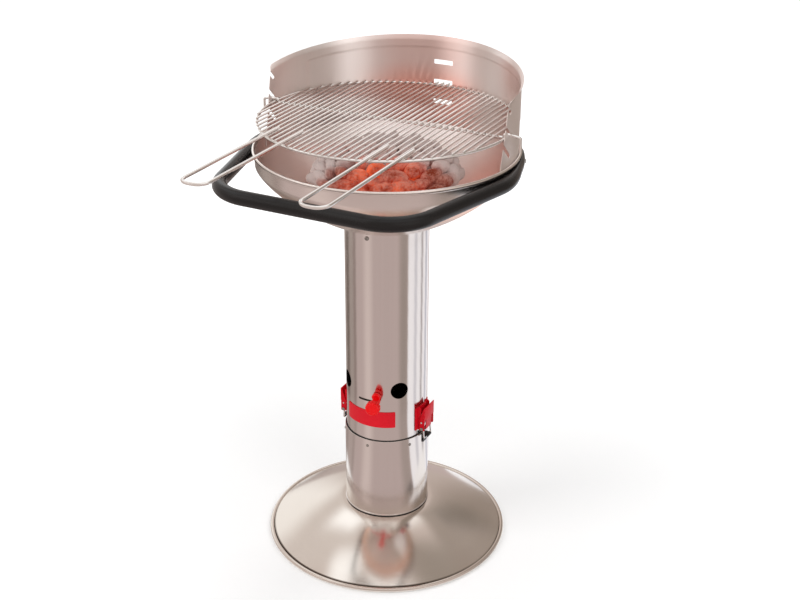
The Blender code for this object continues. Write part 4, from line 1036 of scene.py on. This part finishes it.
def makeLumps():
    v = heapValues
    shapes = [lumpShape(f"lump{i}", i + 3) for i in range(v["shapes"])]
    for shape in shapes:
        applied(shape, "DECIMATE", ratio=v["keep"])
    picker = random.Random(v["seed"])
    placed = []
    members = []
    tries = 0
    while len(placed) < v["lumps"] and tries < v["tries"]:
        tries += 1
        share = math.sqrt(picker.random())
        turn = picker.uniform(0, math.tau)
        radius = share * (v["radius"] - v["thick"] * 0.8)
        upper = len(placed) < v["upper"]
        height = heapHeight(radius / v["radius"]) - v["thick"] * picker.uniform(0.75, 1.05)
        height = max(height - (0.0 if upper else v["thick"] * 1.1), v["floor"] + v["thick"] * 0.9)
        spot = Vector((radius * math.cos(turn), radius * math.sin(turn), height))
        lie = picker.uniform(0, math.pi)
        along = Vector((math.cos(lie), math.sin(lie), 0)) * v["long"] * 0.5
        ends = (spot - along, spot, spot + along)
        if share > 0.80:  # the outer lumps lie round the heap
            ends = (spot, spot, spot)
            lie = turn + math.pi / 2 + picker.uniform(-0.5, 0.5)
        close = v["thick"] * (1.55 if upper else 1.25)
        if any((a - b).length < close for other in placed for a in ends for b in other):
            continue
        placed.append(ends)
        lump = copyOf(shapes[picker.randrange(len(shapes))])
        grow = picker.uniform(0.88, 1.08)
        lump.scale = (grow, grow, grow)
        lump.rotation_euler = (picker.uniform(0, math.tau), picker.uniform(-0.25, 0.25), lie)
        lump.location = (spot.x, axisY + spot.y, spot.z)
        members.append(lump)
    for shape in shapes:
        bpy.data.objects.remove(shape, do_unlink=True)
    lumps = joinAll("charcoal.lumps", members)
    settle(lumps)
    for vert in lumps.data.vertices:
        vert.co.z = min(max(vert.co.z, v["floor"]), v["top"] + v["proud"])
    return lumps


def makeEmbers():
    # the fine embers and ash under the lumps
    v = heapValues
    deselect()
    bpy.ops.mesh.primitive_circle_add(
        vertices=96, radius=v["radius"] * v["bed"], fill_type="NGON", location=(0, axisY, v["floor"]),
    )
    bed = startEdit("charcoal.embers")
    shares = (0.89, 0.84, 0.78, 0.70, 0.60, 0.50, 0.40, 0.30, 0.20, 0.10)
    steps = [(heapHeight(share) - v["thick"] * 1.9, share) for share in shares]
    drawOut(Vector((0, axisY, 0)), upwards, v["floor"], v["bed"], steps)
    closeShape()
    for vert in bed.data.vertices:
        if vert.co.z > v["floor"] + 0.001:
            vert.co.z += 0.004 * noise.noise(vert.co * 60)
    return bed


makeCharcoalGrid()
heap = joinAll("charcoal.heap", [makeLumps(), makeEmbers()])
done(heap, "ember", "stand", "charcoal", "charcoal_bed", sharp=180)
print("stage: charcoal")


# Windshield
shieldValues = {
    "radius": 0.23395, "sheet": 0.0009, "foot": 0.7781, "endHeight": 0.9225, "rise": 0.0255, "corner": 0.0100,
    "flare": 0.0085, "flareOut": 0.0042, "flareFrom": 0.86, "endLow": 0.0310, "endLean": 0.2080,
    "slotWidth": 0.0386, "slotTall": 0.0088, "slotHeight": 0.8606, "slotEdge": 0.0012, "level": 0.0385,
    "notchRadius": 0.0034, "notchHeight": 0.8606, "notchRun": 0.045, "notchDeep": 0.030, "slotDeep": 0.024,
    "panelAngle": 67.0, "panelDown": 0.0140, "panelFoot": 0.8560, "panelDepth": 0.0009,
    "rows": 96, "columns": 300,
}


def shieldPoint(side, rise):
    # side goes from -1 at the left end to 1 at the right end, and rise from 0 to 1
    v = shieldValues
    # the rows are closer in the flared edge
    wallShare = min(rise / v["flareFrom"], 1.0)
    flare = max((rise - v["flareFrom"]) / (1 - v["flareFrom"]), 0.0)
    angle = side * math.pi / 2
    for _ in range(2):
        top = v["endHeight"] + v["rise"] * max(0.0, math.cos(angle))
        wallTop = top - v["flare"]
        height = v["foot"] + (wallTop - v["foot"]) * wallShare + v["flare"] * flare
        cutIn = v["corner"] - (v["endHeight"] - height)
        inset = v["corner"] - math.sqrt(max(v["corner"] ** 2 - cutIn ** 2, 0.0)) if cutIn > 0 else 0.0
        inset = min(inset, v["corner"])
        reach = v["endLow"] - v["endLean"] * (height - bowlValues["rim"]) - inset
        angle = side * (math.pi / 2 + math.asin(reach / v["radius"]))
    panelTop = wallTop - v["panelDown"]
    inPanel = 1 - smooth(math.degrees(abs(angle)), v["panelAngle"] - 0.7, v["panelAngle"] + 0.3)
    inPanel *= 1 - smooth(height, panelTop - 0.0012, panelTop + 0.0012)
    inPanel *= smooth(height, v["panelFoot"] - 0.0015, v["panelFoot"] + 0.0015)
    radius = v["radius"] + v["flareOut"] * flare ** 1.4 + v["panelDepth"] * inPanel
    return Vector((radius * math.sin(angle), axisY + radius * math.cos(angle), height))


def cutShieldLevel(shield, level):
    # one of the three slots behind, and the notches beside it
    v = shieldValues
    deselect()
    bpy.ops.mesh.primitive_cube_add(
        size=1, location=(0, axisY + v["radius"], v["slotHeight"] + level * v["level"]),
        scale=(v["slotWidth"], v["slotDeep"], v["slotTall"]),
    )
    slotTool = bpy.context.object
    settle(slotTool)
    applied(slotTool, "BEVEL", width=v["slotEdge"], segments=3, limit_method="ANGLE")
    cut(shield, slotTool)
    height = v["notchHeight"] + level * v["level"]
    way = Vector((0, -1, 1)).normalized()
    for sign in (-1, 1):
        place = (sign * v["radius"], axisY, height)
        notch = rod(32, v["notchRadius"], v["notchDeep"], place, (0, math.radians(90), 0))
        settle(notch)
        # its front half is drawn out forwards and up, along 45 degrees
        for vert in notch.data.vertices:
            off = vert.co - Vector((vert.co.x, axisY, height))
            if off.dot(way) > 0.00001:
                vert.co += way * v["notchRun"]
        cut(shield, notch)


def makeShield():
    v = shieldValues
    deselect()
    bpy.ops.mesh.primitive_grid_add(x_subdivisions=v["columns"], y_subdivisions=v["rows"], size=2)
    shield = added("windshield.sheet")
    for vert in shield.data.vertices:
        vert.co = shieldPoint(vert.co.x, (vert.co.y + 1) / 2)
    thickened(shield, v["sheet"], 0.0)
    for level in (-1, 0, 1):
        cutShieldLevel(shield, level)
    done(shield, "shield", "windshield", "polished_steel", "windshield", sharp=30)
    shield.data.materials.append(finishes["shieldInside"].material)
    for face in shield.data.polygons:
        face.material_index = 1 if facesAxis(face) else 0


makeShield()
print("stage: windshield")


# Cooking grate with its hooks and handles
grateValues = {
    "radius": 0.2320, "height": 0.8585, "ringWire": 0.0025, "barWire": 0.0020, "pitch": 0.01175, "each": 18,
    "tongue": 0.0035, "ringRise": 0.0012, "crossWire": 0.0025, "crossBend": 1.3,
    "gap": 0.0003, "play": 0.0008,
    "hookHeight": 0.8600, "hookReach": 0.2545, "hookDrop": 0.0280, "hookFall": 0.0030,
    "handleWire": 0.0030, "handleStart": 0.1550, "handleBend": 0.42, "near": 7, "far": 11,
}


def makeGrate():
    v = grateValues
    inside = bowlValues["band"] - bowlValues["sheet"] - v["play"] - shieldValues["sheet"]
    bars = []
    for i in range(-v["each"], v["each"] + 1):
        x = i * v["pitch"]
        reach = math.sqrt(v["radius"] ** 2 - (abs(x) + v["barWire"]) ** 2)
        bars.append((x, -reach, inside + v["tongue"] if abs(i) <= 1 else reach))
    ringRadius = v["radius"] - v["ringWire"]
    ringHeight = v["height"] - v["barWire"] - v["ringWire"] + v["ringRise"]
    sizes = (ringRadius, v["ringWire"], ringHeight, v["barWire"], v["height"])
    grate = barGrid("cooking.grate", *sizes, bars, 14)
    done(grate, "wire", "grate", "bright_wire", "cooking_grate")

    under = v["height"] - v["barWire"] - v["crossWire"] - v["gap"]
    leg = ringRadius - v["ringWire"] - v["crossWire"] - v["gap"]
    past = bowlValues["band"] + v["crossWire"]
    side = [
        (leg, axisY, under), (leg, axisY, v["hookHeight"]), (past, axisY, v["hookHeight"]),
        (v["hookReach"], axisY, v["hookHeight"] - v["hookFall"]),
        (v["hookReach"], axisY, v["hookHeight"] - v["hookDrop"]),
    ]
    corners = [(-x, y, z) for x, y, z in reversed(side)] + side
    bends = [v["crossWire"] * v["crossBend"]] * (len(corners) - 2)
    cross = bentWire("cross.wire", corners, bends, v["crossWire"], 16, 6)
    done(cross, "wire", "grate", "bright_wire", "cross_wire")

    height = v["height"] + v["barWire"] + v["handleWire"] + v["gap"]
    near, far = v["near"] * v["pitch"], v["far"] * v["pitch"]
    start = axisY - v["handleStart"]
    for side, sign in (("left", -1), ("right", 1)):
        low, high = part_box(f"grate_handle_{side}")
        tip = low.y + v["handleWire"]
        corners = [(sign * x, y, height) for x, y in ((near, start), (near, tip), (far, tip), (far, start))]
        bends = [(far - near) * v["handleBend"]] * 2
        handle = bentWire(f"grate.handle.{side}", corners, bends, v["handleWire"], 20, 14)
        done(handle, "wire", "grate", "bright_wire", f"grate_handle_{side}")


makeGrate()
print("stage: grate")


# The CAD pieces that stay as they are get their finishes
carriedOver = {
    "inner": ("stop_ring", "bowl_spigot"),
    # painted shade: these inner pieces are painted near black
    "soot": ("reservoir_floor", "valve_sleeve"),
    "fastener": (
        "foot_bolt", "foot_nut", "valve_screw", "catch_rivet_left", "catch_rivet_right",
        "latch_pin_left_front", "latch_pin_left_rear", "latch_pin_right_front", "latch_pin_right_rear",
    ),
    "rubber": ("foot_washer",),
}
for finish, names in carriedOver.items():
    for name in names:
        node = frame["nodes"][name]
        for slot in node.material_slots:
            slot.material = finishes[finish].material
        if not node.material_slots:
            node.data.materials.append(finishes[finish].material)
print("stage: carried-over pieces")


# Floor, sky and lamps of the studio. Each lamp is power, place and size.
studioValues = {
    "floor": 40.0, "floorColour": (0.90, 0.90, 0.90), "floorHeight": -0.0002,
    "near": (0.30, 1.40), "white": (0.16, 0.50), "sky": (0.62, 1.0), "middle": (0, axisY, 0.5),
    "lamps": {
        "keyLamp": (46.0, (-2.2, -2.4, 2.6), 1.8),
        "fillLamp": (22.0, (2.6, -1.4, 1.9), 1.6),
        "rearLamp": (24.0, (0.6, 2.8, 2.6), 1.8),
    },
}


def seenRays(finish):
    # 1 where the camera, a mirror or glass looks at the surface, 0 where it only lights the object
    outputs = finish.node("ShaderNodeLightPath").socket.node.outputs
    kinds = ("Camera", "Glossy", "Transmission")
    direct, mirror, glass = [Socket(finish, outputs[f"Is {kind} Ray"]) for kind in kinds]
    return direct.maths("MAXIMUM", direct.maths("MAXIMUM", direct, mirror), glass)


def makeStudio():
    v = studioValues
    deselect()
    place = (0, axisY, v["floorHeight"])
    bpy.ops.mesh.primitive_grid_add(x_subdivisions=8, y_subdivisions=8, size=v["floor"], location=place)
    floor = added("studioFloor")
    ground = Finish(
        "pale floor", Base_Color=v["floorColour"], Roughness=0.9, Specular_IOR_Level=0.1,
        Emission_Strength=1.0,
    )
    x, y, z = ground.parts(ground.point())
    white = ground.step((x * x + y * y) ** 0.5, *v["near"], *v["white"])
    ground.feed("Emission Color", ground.blend(seenRays(ground) * white, (0, 0, 0), (1, 1, 1)))
    floor.data.materials.append(ground.material)

    world = bpy.data.worlds.new("studio")
    bpy.context.scene.world = world
    world.use_nodes = True
    sky = Finish(world, "Background", Color=(1, 1, 1))
    sky.feed("Strength", sky.step(seenRays(sky), 0.0, 1.0, *v["sky"], kind="LINEAR"))

    for name, (power, spot, size) in v["lamps"].items():
        deselect()
        way = Vector(v["middle"]) - Vector(spot)
        bpy.ops.object.light_add(type="AREA", location=spot, rotation=way.to_track_quat("-Z", "Y").to_euler())
        lamp = added(name)
        lamp.data.energy = power
        lamp.data.size = size


# Soft cards round the object that only its steel mirrors, as in a studio: tall ones on a drum round it, and
# low ones that lie on shelves and on the floor. The low ones are seen only from above, so that the column
# mirrors them and the foot doesn't.
cardValues = {
    "drum": [(0.62, 0.0), (0.62, 1.10), (0.50, 1.50), (0.28, 1.72), (0.04, 1.80)], "hole": 0.03,
    "shelves": [0.06 * i for i in range(1, 11)], "shelf": (0.48, 0.62),
    "low": 0.0004, "floor": (0.245, 0.62), "foot": (0.28, 0.32),
    "wall": (0.62, 0.53, 0.49), "wallTones": (0.95, 1.08), "column": (0.58, 0.48, 0.46),
}
tallCards = [  # middle and half width in degrees from the front, softness, lowest, highest, softness, colour
    (-100.0, 38.0, 14.0, -0.2, 1.45, 0.15, (0.76, 0.69, 0.65)),
    (-106.0, 22.0, 12.0, -0.2, 0.34, 0.12, (1.08, 1.05, 1.02)),
    (-108.0, 13.0, 8.0, 0.64, 1.24, 0.14, (1.30, 1.30, 1.30)),
    (-56.0, 17.0, 9.0, 1.06, 1.62, 0.14, (1.30, 1.30, 1.30)),
    (27.0, 52.0, 16.0, 1.14, 1.56, 0.08, (1.15, 1.12, 1.10)),
    (138.0, 40.0, 14.0, -0.2, 1.00, 0.16, (0.36, 0.30, 0.26)),
    (112.0, 26.0, 12.0, 0.85, 1.62, 0.16, (0.36, 0.31, 0.27)),
    (157.0, 8.0, 7.0, 0.24, 0.66, 0.12, (0.22, 0.18, 0.15)),
    (190.0, 26.0, 12.0, 0.98, 1.70, 0.10, (1.15, 1.12, 1.10)),
    (0.0, 400.0, 5.0, 1.64, 2.0, 0.06, (1.30, 1.30, 1.30)),
]
lowCards = [  # middle and half width in degrees from the front, softness, share on the floor, colour
    (-19.0, 9.0, 8.0, 1.0, (0.74, 0.63, 0.60)),
    (62.0, 11.0, 7.0, 0.7, (0.40, 0.34, 0.31)),
    (-92.0, 40.0, 5.0, 0.5, (0.42, 0.36, 0.33)),
    (-57.0, 4.0, 4.0, 0.3, (0.33, 0.26, 0.24)),
    (-91.0, 10.0, 6.0, 0.4, (0.21, 0.17, 0.15)),
    (124.0, 51.5, 2.0, 1.0, (1.08, 1.08, 1.12)),
    (96.5, 5.0, 3.0, 1.0, (0.78, 0.78, 0.84)),
    (122.5, 4.5, 4.0, 1.0, (0.50, 0.47, 0.48)),
    (150.0, 7.0, 6.0, 1.0, (0.62, 0.63, 0.72)),
]
footCards = [  # on the floor, close to the foot: middle, half width, softness, colour
    (-66.0, 26.0, 8.0, (1.10, 1.10, 1.10)),
    (-14.0, 14.0, 8.0, (0.16, 0.15, 0.15)),
    (22.0, 7.0, 6.0, (0.24, 0.16, 0.10)),
    (58.0, 12.0, 7.0, (0.10, 0.09, 0.09)),
    (104.0, 26.0, 8.0, (1.10, 1.10, 1.10)),
]


def makeDrum():
    v = cardValues
    hole = v["hole"]
    drum = turned("studioDrum", [*v["drum"], (hole, v["drum"][-1][1]), (hole, 0.0)], 96)

    def inHole(face):
        return Vector((face.center.x, face.center.y - axisY)).length < hole + 0.002 or face.center.z < 0.0001

    deleteFaces(drum, inHole)
    mode("OBJECT")
    bpy.ops.object.shade_smooth_by_angle(angle=math.radians(60))
    return drum


def makeShelves():
    v = cardValues
    shelves = []
    for height, (inner, outer) in [(v["low"], v["floor"])] + [(h, v["shelf"]) for h in v["shelves"]]:
        deselect()
        bpy.ops.mesh.primitive_circle_add(vertices=96, radius=inner, location=(0, axisY, height))
        shelf = startEdit("shelf")
        drawOut(Vector((0, axisY, 0)), upwards, height, inner, [(height, outer)])
        bpy.ops.mesh.select_all(action="SELECT")
        bpy.ops.mesh.normals_make_consistent(inside=False)
        mode("OBJECT")
        if shelf.data.polygons[0].normal.z < 0:
            shelf.data.flip_normals()
        shelves.append(shelf)
    return joinAll("studioShelves", shelves)


def startCard(name):
    card = Finish(name, Base_Color=(0, 0, 0), Roughness=1.0, Specular_IOR_Level=0.0, Emission_Strength=1.0)
    card.material.cycles.emission_sampling = "NONE"
    x, y, z = card.parts(card.point())
    angle = x.maths("ARCTAN2", x, y * -1.0) * (180 / math.pi)  # degrees from the front towards +X
    return card, angle, (x * x + y * y) ** 0.5, z


def angleWindow(card, angle, middle, half, soft):
    # also round the back, where the angle jumps from 180 to -180
    share = card.window(angle, middle, half, soft)
    return share.maths("MAXIMUM", share, card.window(angle, middle - 360, half, soft))


def tallFinish():
    v = cardValues
    card, angle, radius, z = startCard("tall studio cards")
    dim, light = [tuple(c * share for c in v["wall"]) for share in v["wallTones"]]
    tone = card.blend(card.ramp(z, [(0.0, 0.0), (0.9, 1.0)]), dim, light)
    for middle, half, soft, low, high, fade, colour in tallCards:
        tall = card.window(z, (low + high) / 2, (high - low) / 2, fade)
        tone = card.blend(angleWindow(card, angle, middle, half, soft) * tall, tone, colour)
    card.feed("Emission Color", tone)
    return card.material


def lowFinish():
    v = cardValues
    card, angle, radius, z = startCard("low studio cards")
    lying = 1 - card.step(z, 0.01, 0.03, kind="LINEAR")
    tone = v["column"]
    for middle, half, soft, share, colour in lowCards:
        there = angleWindow(card, angle, middle, half, soft) * (1 - lying * (1 - share))
        tone = card.blend(there, tone, colour)
    near = lying * (1 - card.step(radius, *v["foot"]))
    for middle, half, soft, colour in footCards:
        tone = card.blend(angleWindow(card, angle, middle, half, soft) * near, tone, colour)
    card.feed("Emission Color", tone)
    # clear from below
    under = card.named("ShaderNodeNewGeometry", "Backfacing")
    clear = card.node("ShaderNodeBsdfTransparent")
    seen = card.node("ShaderNodeMixShader", {}, {0: under, 1: Socket(card, card.shader.outputs[0]), 2: clear})
    card.tree.links.new(seen.socket, card.tree.nodes["Material Output"].inputs["Surface"])
    return card.material


def makeCards():
    for piece, material in ((makeDrum(), tallFinish()), (makeShelves(), lowFinish())):
        piece.data.materials.append(material)
        piece.visible_camera = False
        piece.visible_diffuse = False
        piece.visible_shadow = False
        piece.visible_transmission = False


makeStudio()
makeCards()
print("stage: studio")
